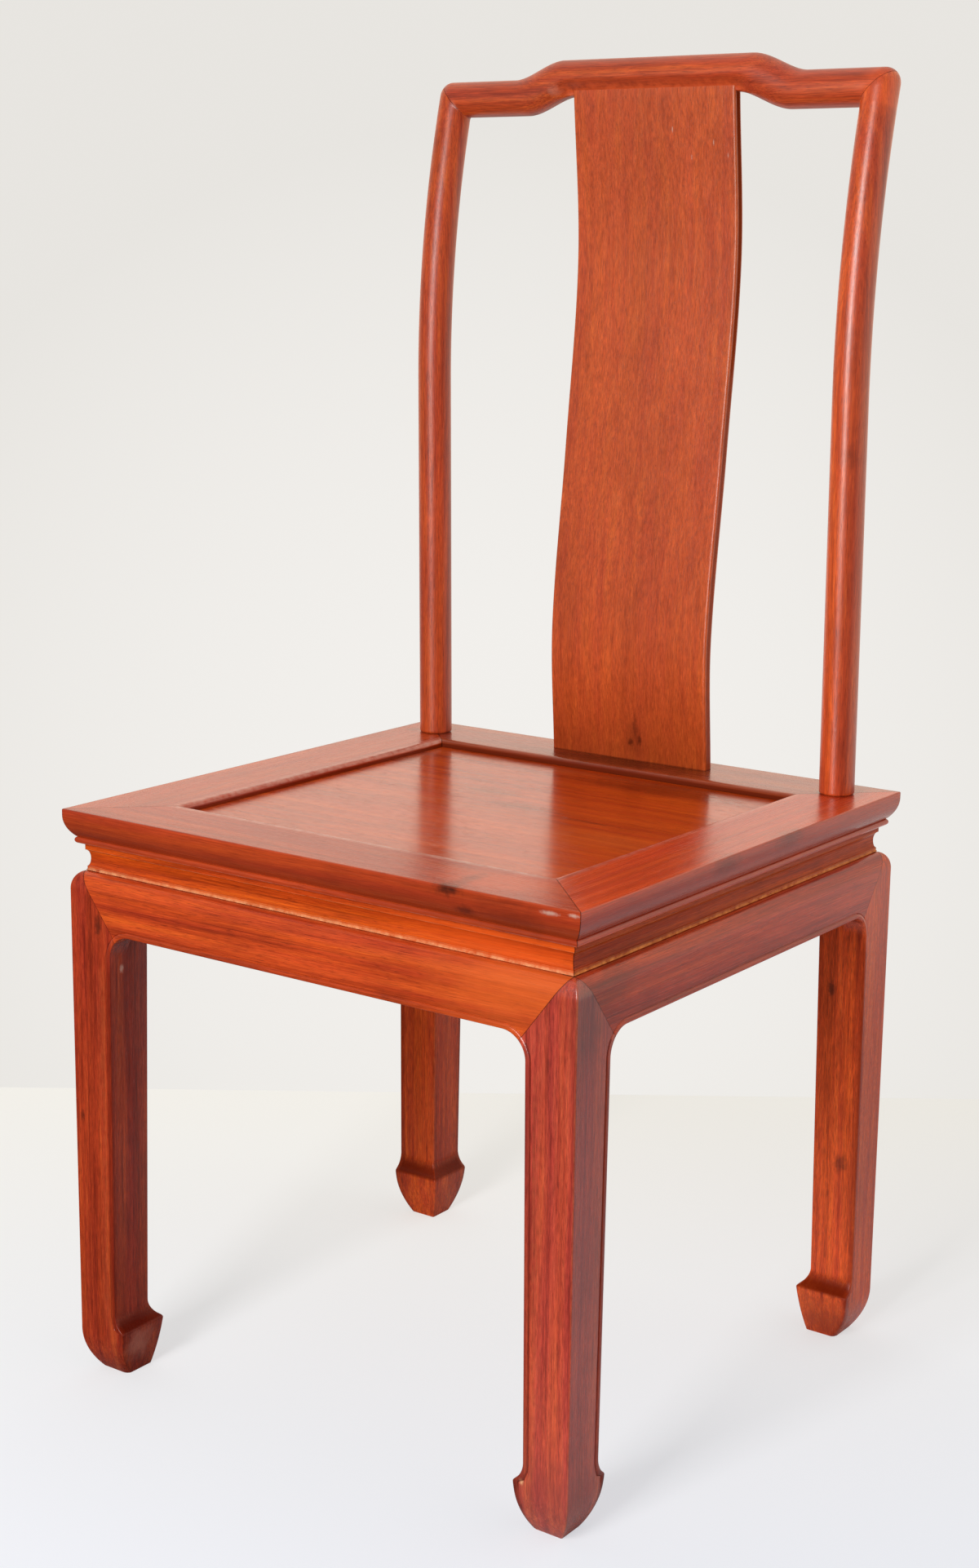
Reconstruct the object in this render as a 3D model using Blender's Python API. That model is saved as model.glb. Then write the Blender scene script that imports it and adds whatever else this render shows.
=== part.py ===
# Ming-style side chair: square waisted seat on four hoof-footed legs, with a round-barred
# back and an S-curved splat. Metres, +Z up, front towards -Y, origin on the floor under
# the middle of the seat.
import math

import bmesh
import bpy
from mathutils import Matrix, Vector

# Clearance left between mating faces
FIT = 0.0003

# Seat, measured over the lip of the frame
SEAT_WIDTH = 0.480
SEAT_DEPTH = 0.464
SEAT_HEIGHT = 0.464

# Seat frame rails and their moulded edge, from the top: lip, ovolo, quirk, astragal
RAIL_WIDTH = 0.0655
RAIL_THICK = 0.0275
LIP_HEIGHT = 0.0050
TOP_EASE = 0.0006
OVOLO_INSET = 0.0075
QUIRK_DEPTH = 0.0016
ASTRAGAL_RADIUS = 0.00275
RAIL_INNER_ROUND = 0.0045
CORNER_TENON_INSET = 0.0475
CORNER_TENON_WIDTH = 0.0090
CORNER_TENON_THICK = 0.0070
CORNER_TENON_LENGTH = 0.0160
CORNER_TENON_LIFT = 0.0035

# Floating seat panel, tongued into the rails
PANEL_SUNK = 0.0060
PANEL_THICK = 0.0120
PANEL_SHADOW_GAP = 0.0008
PANEL_CHEEK = 0.0050
PANEL_TONGUE_THICK = 0.0050
PANEL_TONGUE_LENGTH = 0.0065

# Braces under the panel, dovetailed into it and tenoned into front and back rail
BRACE_SPACING = 0.150
BRACE_WIDTH = 0.024
BRACE_HEIGHT = 0.022
BRACE_NECK = 0.012
BRACE_DOVETAIL = 0.016
BRACE_DOVETAIL_HEIGHT = 0.004
BRACE_TENON_LENGTH = 0.010
BRACE_TENON_HEIGHT = 0.006

# Waist strips between frame and aprons
WAIST_HEIGHT = 0.0220
WAIST_INSET = 0.0120
WAIST_FOOT_INSET = 0.0130
WAIST_HOLLOW_INSET = 0.0150
WAIST_TOP_FILLET = 0.0050
WAIST_FOOT_FILLET = 0.0035
TONGUE_INSET = 0.0155
TONGUE_THICK = 0.0035
TONGUE_LENGTH = 0.0045
SKIRT_BACK = 0.0220

# Aprons, mitred to the legs
APRON_HEIGHT = 0.0440
FACE_INSET = 0.0033
SHOULDER_INSET = 0.0125
SHOULDER_DROP = 0.0140
SPANDREL_RADIUS = 0.0200
EDGE_BEAD_SET = 0.0003
EDGE_BEAD_WIDTH = 0.0040
EDGE_BEAD_HEIGHT = 0.0010
EDGE_BEAD_ROOT = 0.0008

# Legs and hoof feet
LEG_TOP_SIZE = 0.0415
ANKLE_SIZE = 0.0380
ANKLE_HEIGHT = 0.0555
HOOF_TIP_HEIGHT = 0.0405
HOOF_FLARE = 0.0087
HOOF_TURN_HEIGHT = 0.0345
HOOF_TURN = 0.0122
HOOF_BOTTOM = 0.0268
HOOF_CORNER_WIDTH = 0.0055
HOOF_CORNER_DEPTH = 0.0042
POST_TENON_INSET = 0.0228
POST_TENON_WIDTH = 0.0050
POST_TENON_START = 0.0300
POST_TENON_SPAN = 0.0110
POST_TENON_LENGTH = 0.0120
KEY_CENTRE = 0.0395
KEY_NECK = 0.0050
KEY_HEAD = 0.0074
KEY_DEPTH = 0.0050
KEY_FOOT_GAP = 0.0130
KEY_TOP_GAP = 0.0015

# Round stiles of the back and the crest rail between them
STILE_INSET = 0.0380
STILE_DIAMETER = 0.0284
STILE_TENON_DIAMETER = 0.0160
STILE_TENON_LENGTH = 0.0220
STILE_STRAIGHT = 0.310
STILE_LEAN = 0.0177
STILE_BEND_RADIUS = 0.885
BACK_HEIGHT = 0.548
CREST_DIAMETER = 0.0294
CREST_RISE = 0.0145
CREST_RISE_FOOT = 0.1395
CREST_RISE_HEAD = 0.0895
CREST_RISE_LAG = 0.0140
CREST_COVE_HEAD = 0.0005
CREST_COVE_FOOT = 0.0125
CREST_COVE_RUNOUT = 0.0200
CORNER_ROUND = 0.0110
CORNER_INNER_ROUND = 0.0010
CORNER_BLEND = 0.0040
CREST_TENON_WIDTH = 0.0090
CREST_TENON_THICK = 0.0080
CREST_TENON_REACH = 0.0190

# Splat, its front face swaying about the line of the stiles
SPLAT_WIDTH = 0.154
SPLAT_THICK = 0.010
SPLAT_EASE = 0.0015
SPLAT_TENON = 0.012
SPLAT_FOOT_SET = 0.0040
SPLAT_HEAD_SET = 0.0065
SPLAT_LOW_HEIGHT = 0.108
SPLAT_LOW_SET = -0.0020
SPLAT_MID_HEIGHT = 0.261
SPLAT_MID_SET = 0.0135
SPLAT_HIGH_HEIGHT = 0.418
SPLAT_HIGH_SET = 0.0272

# Wood colours, linear
WOOD_LIT = (0.40, 0.095, 0.030)
WOOD_DEEP = (0.30, 0.062, 0.024)
WOOD_ROUGHNESS = 0.32

# Facets, and the directions in degrees of the sections through the back's corners
ARC_STEPS = 6
RING_SIDES = 20
CORNER_TURNS = (0, 12, 22, 30, 38, 45)

# Direction in degrees, from the rounding's centre, of the mitre and of what is trimmed to it
MITRE_TURN = 135
TRIM_TURN = 20

# Lengths by which cutters pass and added solids enter their neighbours
OVERLAP = 0.001
REACH = 0.020
SPANDREL_BITE = 0.0004

# Levels and insets that follow from the sizes above
RAIL_FOOT = SEAT_HEIGHT - RAIL_THICK
APRON_TOP = RAIL_FOOT - WAIST_HEIGHT
APRON_FOOT = APRON_TOP - APRON_HEIGHT
SHOULDER_FOOT = APRON_TOP - SHOULDER_DROP
SPANDREL_FOOT = APRON_FOOT - SPANDREL_RADIUS
LEG_INNER = FACE_INSET + LEG_TOP_SIZE
POST_INSET = SKIRT_BACK + FIT
SPANDREL_CENTRE = LEG_INNER + SPANDREL_RADIUS - SPANDREL_BITE
MITRE_REACH = SPANDREL_CENTRE + SPANDREL_RADIUS * math.cos(math.radians(MITRE_TURN))
MITRE_LEVEL = SPANDREL_FOOT + SPANDREL_RADIUS * math.sin(math.radians(MITRE_TURN))
MITRE_STEP = FIT / math.sqrt(2.0)
STILE_X = SEAT_WIDTH / 2 - STILE_INSET
STILE_Y = SEAT_DEPTH / 2 - STILE_INSET
CREST_LEVEL = SEAT_HEIGHT + BACK_HEIGHT

# Place of each side (middle of its outer edge) and of each leg's corner, with its turn
SIDES = {
    "front": (0.0, -SEAT_DEPTH / 2, 0.0, SEAT_WIDTH / 2),
    "right": (SEAT_WIDTH / 2, 0.0, 90.0, SEAT_DEPTH / 2),
    "back": (0.0, SEAT_DEPTH / 2, 180.0, SEAT_WIDTH / 2),
    "left": (-SEAT_WIDTH / 2, 0.0, 270.0, SEAT_DEPTH / 2),
}
CORNERS = {
    "front_left": (-SEAT_WIDTH / 2, -SEAT_DEPTH / 2, 0.0),
    "front_right": (SEAT_WIDTH / 2, -SEAT_DEPTH / 2, 90.0),
    "back_right": (SEAT_WIDTH / 2, SEAT_DEPTH / 2, 180.0),
    "back_left": (-SEAT_WIDTH / 2, SEAT_DEPTH / 2, 270.0),
}


# Mesh helpers

def loft(rings):
    """Closed solid through rings of equal point count, capped at both ends."""
    mesh = bmesh.new()
    rows = [[mesh.verts.new(point) for point in ring] for ring in rings]
    count = len(rows[0])
    for low, high in zip(rows, rows[1:]):
        for k in range(count):
            mesh.faces.new((low[k], low[(k + 1) % count], high[(k + 1) % count], high[k]))
    mesh.faces.new(rows[0])
    mesh.faces.new(rows[-1])
    bmesh.ops.recalc_face_normals(mesh, faces=mesh.faces[:])
    return to_data(mesh)


def to_data(mesh):
    data = bpy.data.meshes.new("solid")
    mesh.to_mesh(data)
    mesh.free()
    return data


def prism(outline, place, start, end):
    """Outline points (p, q) run straight from start to end; place(p, q, r) gives x, y, z."""
    return loft([[place(p, q, r) for p, q in outline] for r in (start, end)])


def along_y(p, q, r):
    return (p, r, q)


def along_z(p, q, r):
    return (p, q, r)


def box(x0, x1, y0, y1, z0, z1):
    return prism([(x0, y0), (x1, y0), (x1, y1), (x0, y1)], along_z, z0, z1)


def disc(x, y, radius, sides=RING_SIDES):
    steps = [2 * math.pi * k / sides for k in range(sides)]
    return [(x + radius * math.cos(a), y + radius * math.sin(a)) for a in steps]


def swap(data):
    """Mirror a solid in the diagonal x = y, keeping its faces outward."""
    copy = data.copy()
    copy.transform(Matrix(((0, 1, 0, 0), (1, 0, 0, 0), (0, 0, 1, 0), (0, 0, 0, 1))))
    copy.flip_normals()
    return copy


def mirror_x(data):
    copy = data.copy()
    copy.transform(Matrix.Scale(-1, 4, (1, 0, 0)))
    copy.flip_normals()
    return copy


def carve(base, steps):
    """Run boolean steps (operation, solid) on a base solid and return the plain mesh."""
    body = bpy.data.objects.new("body", base)
    bpy.context.collection.objects.link(body)
    tools = []
    for operation, solid in steps:
        tool = bpy.data.objects.new("tool", solid)
        bpy.context.collection.objects.link(tool)
        cut = body.modifiers.new("cut", "BOOLEAN")
        cut.operation = operation
        cut.solver = "EXACT"
        cut.object = tool
        tools.append(tool)
    graph = bpy.context.evaluated_depsgraph_get()
    data = bpy.data.meshes.new_from_object(body.evaluated_get(graph))
    for item in tools + [body]:
        bpy.data.objects.remove(item)
    return data


def wood(name, colour):
    material = bpy.data.materials.new(name)
    material.use_nodes = True
    shader = material.node_tree.nodes["Principled BSDF"]
    shader.inputs["Base Color"].default_value = (*colour, 1.0)
    shader.inputs["Roughness"].default_value = WOOD_ROUGHNESS
    shader.inputs["Metallic"].default_value = 0.0
    material.diffuse_color = (*colour, 1.0)
    return material


def add_piece(name, data, colour, place=(0.0, 0.0, 0.0), turn=0.0, smooth=35.0):
    data = data.copy()
    data.name = name
    data.materials.clear()
    data.materials.append(wood(name, colour))
    data.shade_smooth()
    data.set_sharp_from_angle(angle=math.radians(smooth))
    piece = bpy.data.objects.new(name, data)
    bpy.context.collection.objects.link(piece)
    piece.location = place
    piece.rotation_euler = (0.0, 0.0, math.radians(turn))
    piece.parent = CHAIR
    return piece


# Curves shared by several pieces

def rounding(width, height, run):
    """Sideways travel after run along an arc that leaves a straight line tangentially
    and reaches width after height."""
    radius = (height * height + width * width) / (2 * width)
    return radius - math.sqrt(radius * radius - run * run)


def steps_between(start, end, count):
    return [start + (end - start) * k / count for k in range(count + 1)]


def eased(share):
    """Share from 0 to 1, held there beyond, with a soft start and end."""
    share = min(1.0, max(0.0, share))
    return share * share * (3 - 2 * share)


def mitre_inset(level):
    """Inset of the apron-to-leg mitre line at a height."""
    share = (APRON_TOP - level) / (APRON_TOP - MITRE_LEVEL)
    return SHOULDER_INSET + share * (MITRE_REACH - SHOULDER_INSET)


def spandrel(first, last, count):
    """Points of the rounded corner between leg and apron; 180 degrees is at the leg."""
    turns = [math.radians(a) for a in steps_between(first, last, count)]
    return [
        (SPANDREL_CENTRE + SPANDREL_RADIUS * math.cos(a), SPANDREL_FOOT + SPANDREL_RADIUS * math.sin(a))
        for a in turns
    ]


def shoulder_inset(level):
    share = (level - SHOULDER_FOOT) / SHOULDER_DROP
    return FACE_INSET + (SHOULDER_INSET - FACE_INSET) * (1 - math.sqrt(max(0.0, 1 - share * share)))


def mitred_length(profile, half):
    """Profile (inset, level) run along x with ends mitred in plan."""
    ends = (-1, 1)
    return loft([[(s * (half - u - MITRE_STEP), u, z) for u, z in profile] for s in ends])


def edge_bead(path):
    """Half-round bead on a face at FACE_INSET, kept to the left of the path (p, z)."""
    turns = [math.radians(a) for a in steps_between(0, 180, ARC_STEPS)]
    half = EDGE_BEAD_WIDTH / 2
    arch = [(half - half * math.cos(a), -EDGE_BEAD_HEIGHT * math.sin(a)) for a in turns]
    section = [(0.0, EDGE_BEAD_ROOT)] + arch + [(EDGE_BEAD_WIDTH, EDGE_BEAD_ROOT)]
    rings = []
    for k, (p, z) in enumerate(path):
        before = Vector(path[max(k - 1, 0)])
        after = Vector(path[min(k + 1, len(path) - 1)])
        way = (after - before).normalized()
        ring = []
        for across, depth in section:
            reach = EDGE_BEAD_SET + across
            ring.append((p - way.y * reach, FACE_INSET + depth, z + way.x * reach))
        rings.append(ring)
    return loft(rings)


# Seat frame

def rail_profile():
    top = SEAT_HEIGHT
    ovolo = RAIL_THICK - LIP_HEIGHT - 2 * ASTRAGAL_RADIUS
    points = [(TOP_EASE, top), (0.0, top - TOP_EASE)]
    for run in steps_between(0.0, ovolo, ARC_STEPS):
        points.append((rounding(OVOLO_INSET, ovolo, run), top - LIP_HEIGHT - run))
    centre = OVOLO_INSET + QUIRK_DEPTH
    for turn in steps_between(90, -90, ARC_STEPS):
        a = math.radians(turn)
        points.append((
            centre - ASTRAGAL_RADIUS * math.cos(a),
            RAIL_FOOT + ASTRAGAL_RADIUS + ASTRAGAL_RADIUS * math.sin(a),
        ))
    groove_roof = RAIL_FOOT + TONGUE_LENGTH + FIT
    points += [
        (TONGUE_INSET - FIT, RAIL_FOOT),
        (TONGUE_INSET - FIT, groove_roof),
        (TONGUE_INSET + TONGUE_THICK + FIT, groove_roof),
        (TONGUE_INSET + TONGUE_THICK + FIT, RAIL_FOOT),
        (RAIL_WIDTH, RAIL_FOOT),
    ]
    tongue_top = top - PANEL_SUNK - PANEL_CHEEK
    slot = RAIL_WIDTH - PANEL_TONGUE_LENGTH - FIT
    points += [
        (RAIL_WIDTH, tongue_top - PANEL_TONGUE_THICK - FIT),
        (slot, tongue_top - PANEL_TONGUE_THICK - FIT),
        (slot, tongue_top + FIT),
        (RAIL_WIDTH, tongue_top + FIT),
    ]
    for turn in steps_between(0, 90, ARC_STEPS - 2):
        a = math.radians(turn)
        points.append((
            RAIL_WIDTH - RAIL_INNER_ROUND * (1 - math.cos(a)),
            top - RAIL_INNER_ROUND * (1 - math.sin(a)),
        ))
    return points


def corner_tenon(half):
    """Tenon through the mitre at the +x end, from front and back rails into side rails."""
    low = RAIL_FOOT + CORNER_TENON_LIFT
    near = CORNER_TENON_INSET
    far = CORNER_TENON_INSET + CORNER_TENON_WIDTH
    tip = half - CORNER_TENON_INSET + CORNER_TENON_LENGTH
    return box(half - far - OVERLAP, tip, near, far, low, low + CORNER_TENON_THICK)


def corner_mortise(half):
    """The same tenon's hole, seen from a side rail: its two plan directions change over."""
    low = RAIL_FOOT + CORNER_TENON_LIFT - FIT
    high = RAIL_FOOT + CORNER_TENON_LIFT + CORNER_TENON_THICK + FIT
    near = CORNER_TENON_INSET - FIT
    far = CORNER_TENON_INSET + CORNER_TENON_WIDTH + FIT
    tip = CORNER_TENON_INSET - CORNER_TENON_LENGTH - FIT
    return box(half - far, half - near, tip, far + OVERLAP, low, high)


def post_mortise(half):
    """Hole in a rail's underside for a leg's tenon, at the +x end."""
    return box(
        half - POST_TENON_START - POST_TENON_SPAN - FIT, half - POST_TENON_START + FIT,
        POST_TENON_INSET - FIT, POST_TENON_INSET + POST_TENON_WIDTH + FIT,
        RAIL_FOOT - REACH, RAIL_FOOT + POST_TENON_LENGTH + FIT,
    )


def stile_mortise(half):
    hole = disc(half - STILE_INSET, STILE_INSET, STILE_TENON_DIAMETER / 2 + FIT)
    return prism(hole, along_z, SEAT_HEIGHT - STILE_TENON_LENGTH - FIT, SEAT_HEIGHT + REACH)


def brace_tenon_hole(x):
    half = BRACE_NECK / 2 + FIT
    inner = RAIL_WIDTH - BRACE_TENON_LENGTH - FIT
    foot = brace_top() - BRACE_TENON_HEIGHT - FIT
    return box(x - half, x + half, inner, RAIL_WIDTH + REACH, foot, brace_top() + FIT)


def splat_mortise():
    front = splat_front(0.0) - FIT
    back = front + SPLAT_THICK + 2 * FIT
    half = SPLAT_WIDTH / 2 + FIT
    # the back rail is turned about, so its inset runs towards the front
    edge = SEAT_DEPTH / 2
    foot = SEAT_HEIGHT - SPLAT_TENON - FIT
    return box(-half, half, edge - back, edge - front, foot, SEAT_HEIGHT + REACH)


def add_rails():
    for side, (x, y, turn, half) in SIDES.items():
        if side in ("front", "back"):
            joint = ("UNION", corner_tenon(half))
        else:
            joint = ("DIFFERENCE", corner_mortise(half))
        steps = []
        for operation, solid in (joint, ("DIFFERENCE", post_mortise(half))):
            steps += [(operation, solid), (operation, mirror_x(solid))]
        if side in ("front", "back"):
            for place in (-BRACE_SPACING / 2, BRACE_SPACING / 2):
                steps.append(("DIFFERENCE", brace_tenon_hole(place)))
        if side == "back":
            steps.append(("DIFFERENCE", splat_mortise()))
        if side in ("back", "left"):
            steps.append(("DIFFERENCE", mirror_x(stile_mortise(half))))
        if side in ("back", "right"):
            steps.append(("DIFFERENCE", stile_mortise(half)))
        rail = carve(mitred_length(rail_profile(), half), steps)
        add_piece("seat_rail_" + side, rail, WOOD_LIT, (x, y, 0.0), turn)


def brace_top():
    return SEAT_HEIGHT - PANEL_SUNK - PANEL_THICK - FIT


def brace_dovetail(clearance):
    """Dovetail ridge outline (x, z) on top of a brace."""
    foot = brace_top() - clearance
    head = brace_top() + BRACE_DOVETAIL_HEIGHT + clearance
    neck = BRACE_NECK / 2 + clearance
    wide = BRACE_DOVETAIL / 2 + clearance
    right = [(neck, foot - OVERLAP), (neck, foot), (wide, head)]
    return right + [(-x, z) for x, z in reversed(right)]


def add_panel():
    top = SEAT_HEIGHT - PANEL_SUNK
    tongue_top = top - PANEL_CHEEK
    body = RAIL_WIDTH + PANEL_SHADOW_GAP
    edge = RAIL_WIDTH - PANEL_TONGUE_LENGTH
    levels = [
        (body, top - PANEL_THICK),
        (body, tongue_top - PANEL_TONGUE_THICK),
        (edge, tongue_top - PANEL_TONGUE_THICK),
        (edge, tongue_top),
        (body, tongue_top),
        (body, top),
    ]
    rings = []
    for inset, level in levels:
        x = SEAT_WIDTH / 2 - inset
        y = SEAT_DEPTH / 2 - inset
        rings.append([(-x, -y, level), (x, -y, level), (x, y, level), (-x, y, level)])
    cuts = []
    for place in (-BRACE_SPACING / 2, BRACE_SPACING / 2):
        groove = prism(brace_dovetail(FIT), along_y, -SEAT_DEPTH / 2, SEAT_DEPTH / 2)
        groove.transform(Matrix.Translation((place, 0.0, 0.0)))
        cuts.append(("DIFFERENCE", groove))
    add_piece("seat_panel", carve(loft(rings), cuts), WOOD_LIT)


def add_braces():
    top = brace_top()
    span = SEAT_DEPTH / 2 - RAIL_WIDTH - FIT
    wide = BRACE_WIDTH / 2
    tenon = BRACE_NECK / 2
    body = box(-wide, wide, -span, span, top - BRACE_HEIGHT, top)
    ridge = prism(brace_dovetail(0.0), along_y, -span, span)
    reach = span + FIT + BRACE_TENON_LENGTH
    tongue = box(-tenon, tenon, -reach, reach, top - BRACE_TENON_HEIGHT, top - FIT)
    brace = carve(body, [("UNION", ridge), ("UNION", tongue)])
    for name, place in (("left", -BRACE_SPACING / 2), ("right", BRACE_SPACING / 2)):
        add_piece("seat_brace_" + name, brace, WOOD_DEEP, (place, 0.0, 0.0))


# Waist and aprons

def waist_profile():
    top = RAIL_FOOT - FIT
    foot = APRON_TOP + FIT
    hollow_top = top - WAIST_TOP_FILLET
    hollow_foot = foot + WAIST_FOOT_FILLET
    middle = (hollow_top + hollow_foot) / 2
    half = (hollow_top - hollow_foot) / 2
    points = [(WAIST_INSET, top)]
    for turn in steps_between(0, 180, 2 * ARC_STEPS):
        a = math.radians(turn)
        rim = WAIST_INSET if turn < 90 else WAIST_FOOT_INSET
        points.append((rim + (WAIST_HOLLOW_INSET - rim) * math.sin(a), middle + half * math.cos(a)))
    near = TONGUE_INSET
    far = TONGUE_INSET + TONGUE_THICK
    points += [
        (WAIST_FOOT_INSET, foot), (near, foot), (near, foot - TONGUE_LENGTH), (far, foot - TONGUE_LENGTH),
        (far, foot), (SKIRT_BACK, foot), (SKIRT_BACK, top), (far, top), (far, top + TONGUE_LENGTH),
        (near, top + TONGUE_LENGTH), (near, top),
    ]
    return points


def apron_profile():
    points = []
    for turn in steps_between(90, 0, ARC_STEPS + 2):
        a = math.radians(turn)
        points.append((
            SHOULDER_INSET - (SHOULDER_INSET - FACE_INSET) * math.cos(a),
            SHOULDER_FOOT + SHOULDER_DROP * math.sin(a),
        ))
    floor = APRON_TOP - TONGUE_LENGTH - FIT
    near = TONGUE_INSET - FIT
    far = TONGUE_INSET + TONGUE_THICK + FIT
    points += [
        (FACE_INSET, SPANDREL_FOOT), (SKIRT_BACK, SPANDREL_FOOT), (SKIRT_BACK, APRON_TOP),
        (far, APRON_TOP), (far, floor), (near, floor), (near, APRON_TOP),
    ]
    return points


def apron_outline(half):
    """Front view of an apron (x, z): mitred ends, spandrels and straight lower edge."""
    roof = APRON_TOP + REACH
    left = [(-half + mitre_inset(roof) + MITRE_STEP, roof), (-half + MITRE_REACH + MITRE_STEP, MITRE_LEVEL)]
    left += [(-half + p, z) for p, z in spandrel(MITRE_TURN, 90, ARC_STEPS)[1:]]
    right = [(-x, z) for x, z in reversed(left)]
    return left + right


def apron_bead(half):
    left = [(-half + p, z) for p, z in spandrel(MITRE_TURN + TRIM_TURN, 90, 2 * ARC_STEPS)]
    return edge_bead(left + [(-x, z) for x, z in reversed(left)])


def key_outline(clearance):
    """Plan of the dovetail key on a leg's post (inset along the apron, inset from its face)."""
    neck = KEY_NECK / 2 + clearance
    head = KEY_HEAD / 2 + clearance
    root = POST_INSET + OVERLAP
    tip = POST_INSET - KEY_DEPTH - clearance
    half = [(neck, root), (head, tip)]
    return [(KEY_CENTRE - p, u) for p, u in half] + [(KEY_CENTRE + p, u) for p, u in reversed(half)]


def key_levels():
    low = MITRE_LEVEL + KEY_FOOT_GAP + (MITRE_REACH - KEY_CENTRE)
    high = APRON_TOP - TONGUE_LENGTH - FIT - KEY_TOP_GAP
    return low, high


def add_skirt():
    for side, (x, y, turn, half) in SIDES.items():
        add_piece("waist_" + side, mitred_length(waist_profile(), half), WOOD_LIT, (x, y, 0.0), turn)
        high = key_levels()[1]
        outline = [(p - half, u) for p, u in key_outline(FIT)]
        slot = prism(outline, along_z, SPANDREL_FOOT - REACH, high + FIT)
        apron = carve(mitred_length(apron_profile(), half), [
            ("UNION", apron_bead(half)),
            ("INTERSECT", prism(apron_outline(half), along_y, -REACH, SKIRT_BACK + REACH)),
            ("DIFFERENCE", slot),
            ("DIFFERENCE", mirror_x(slot)),
        ])
        add_piece("apron_" + side, apron, WOOD_LIT, (x, y, 0.0), turn)


# Legs

def leg_outer(level):
    if level < HOOF_TURN_HEIGHT:
        return FACE_INSET + rounding(HOOF_TURN, HOOF_TURN_HEIGHT, HOOF_TURN_HEIGHT - level)
    if level > SHOULDER_FOOT:
        return shoulder_inset(level)
    return FACE_INSET


def leg_inner(level):
    tip = ANKLE_SIZE + HOOF_FLARE
    if level <= HOOF_TIP_HEIGHT:
        draw_in = tip - HOOF_TURN - HOOF_BOTTOM
        return FACE_INSET + tip - rounding(draw_in, HOOF_TIP_HEIGHT, HOOF_TIP_HEIGHT - level)
    if level < ANKLE_HEIGHT:
        cove = ANKLE_HEIGHT - HOOF_TIP_HEIGHT
        return FACE_INSET + ANKLE_SIZE + rounding(HOOF_FLARE, cove, ANKLE_HEIGHT - level)
    share = min(1.0, (level - ANKLE_HEIGHT) / (SPANDREL_FOOT - ANKLE_HEIGHT))
    return FACE_INSET + ANKLE_SIZE + share * (LEG_TOP_SIZE - ANKLE_SIZE)


def hoof_cut(level):
    """Depth along an inner face to which the corner with the outer face is cut back."""
    return HOOF_CORNER_DEPTH * max(0.0, 1 - level / HOOF_TIP_HEIGHT) ** 2


def leg_levels():
    hoof = steps_between(0.0, HOOF_TIP_HEIGHT, 2 * ARC_STEPS)
    cove = steps_between(HOOF_TIP_HEIGHT, ANKLE_HEIGHT, ARC_STEPS)[1:]
    turns = [math.radians(a) for a in steps_between(0, 90, ARC_STEPS + 2)]
    shoulder = [SHOULDER_FOOT + SHOULDER_DROP * math.sin(a) for a in turns]
    return hoof + cove + [SPANDREL_FOOT] + shoulder


def leg_shaft():
    rings = []
    for level in leg_levels():
        o = leg_outer(level)
        i = leg_inner(level)
        edge = i - HOOF_CORNER_WIDTH
        side = o + hoof_cut(level)
        plan = [(o, o), (edge, o), (i, side), (i, i), (side, i), (o, edge)]
        rings.append([(p, q, level) for p, q in plan])
    return loft(rings)


def leg_ear():
    """Rounded corner block that carries the leg's inner edge over to the apron's."""
    root = LEG_INNER - SPANDREL_RADIUS / 2
    head = APRON_FOOT + SPANDREL_RADIUS / 2
    arc = spandrel(180, MITRE_TURN - TRIM_TURN, ARC_STEPS)
    foot = (root, SPANDREL_FOOT - SPANDREL_RADIUS / 4)
    outline = [foot] + arc + [(arc[-1][0], head), (root, head)]
    return prism(outline, along_y, FACE_INSET, SKIRT_BACK)


def leg_bead():
    cove = steps_between(HOOF_TIP_HEIGHT, ANKLE_HEIGHT, ARC_STEPS)
    shaft = steps_between(ANKLE_HEIGHT, SPANDREL_FOOT, ARC_STEPS)[1:]
    edge = [(leg_inner(z), z) for z in cove + shaft]
    return edge_bead(edge + spandrel(180, MITRE_TURN - TRIM_TURN, ARC_STEPS)[1:])


def leg_rebate():
    """Room for the apron: everything beyond the mitre, as deep as the apron is thick."""
    low = (SPANDREL_FOOT + MITRE_LEVEL) / 2
    high = APRON_TOP + REACH
    far = MITRE_REACH + 2 * SPANDREL_RADIUS
    step = FIT - MITRE_STEP
    outline = [
        (mitre_inset(low) - step, low), (far, low), (far, high), (mitre_inset(high) - step, high),
    ]
    return prism(outline, along_y, -REACH, POST_INSET)


def leg_post():
    root = POST_INSET + FIT
    core = LEG_INNER - FIT
    return box(root, core, root, core, APRON_TOP - REACH, RAIL_FOOT - FIT)


def leg_tenon():
    return box(
        POST_TENON_START, POST_TENON_START + POST_TENON_SPAN,
        POST_TENON_INSET, POST_TENON_INSET + POST_TENON_WIDTH,
        RAIL_FOOT - FIT - OVERLAP, RAIL_FOOT + POST_TENON_LENGTH,
    )


def add_legs():
    low, high = key_levels()
    ear = leg_ear()
    bead = leg_bead()
    rebate = leg_rebate()
    tenon = leg_tenon()
    key = prism(key_outline(0.0), along_z, low, high)
    steps = []
    for solid in (ear, bead):
        steps += [("UNION", solid), ("UNION", swap(solid))]
    steps += [("DIFFERENCE", rebate), ("DIFFERENCE", swap(rebate)), ("UNION", leg_post())]
    for solid in (tenon, key):
        steps += [("UNION", solid), ("UNION", swap(solid))]
    leg = carve(leg_shaft(), steps)
    for name, (x, y, turn) in CORNERS.items():
        add_piece("leg_" + name, leg, WOOD_DEEP, (x, y, 0.0), turn)


# Back

def stile_y(height):
    """Set-back of a stile's axis at a height above the seat: leaning, then bending back."""
    y = STILE_Y - STILE_LEAN * max(0.0, height)
    run = max(0.0, height - STILE_STRAIGHT)
    return y + STILE_BEND_RADIUS - math.sqrt(STILE_BEND_RADIUS ** 2 - run * run)


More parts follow.
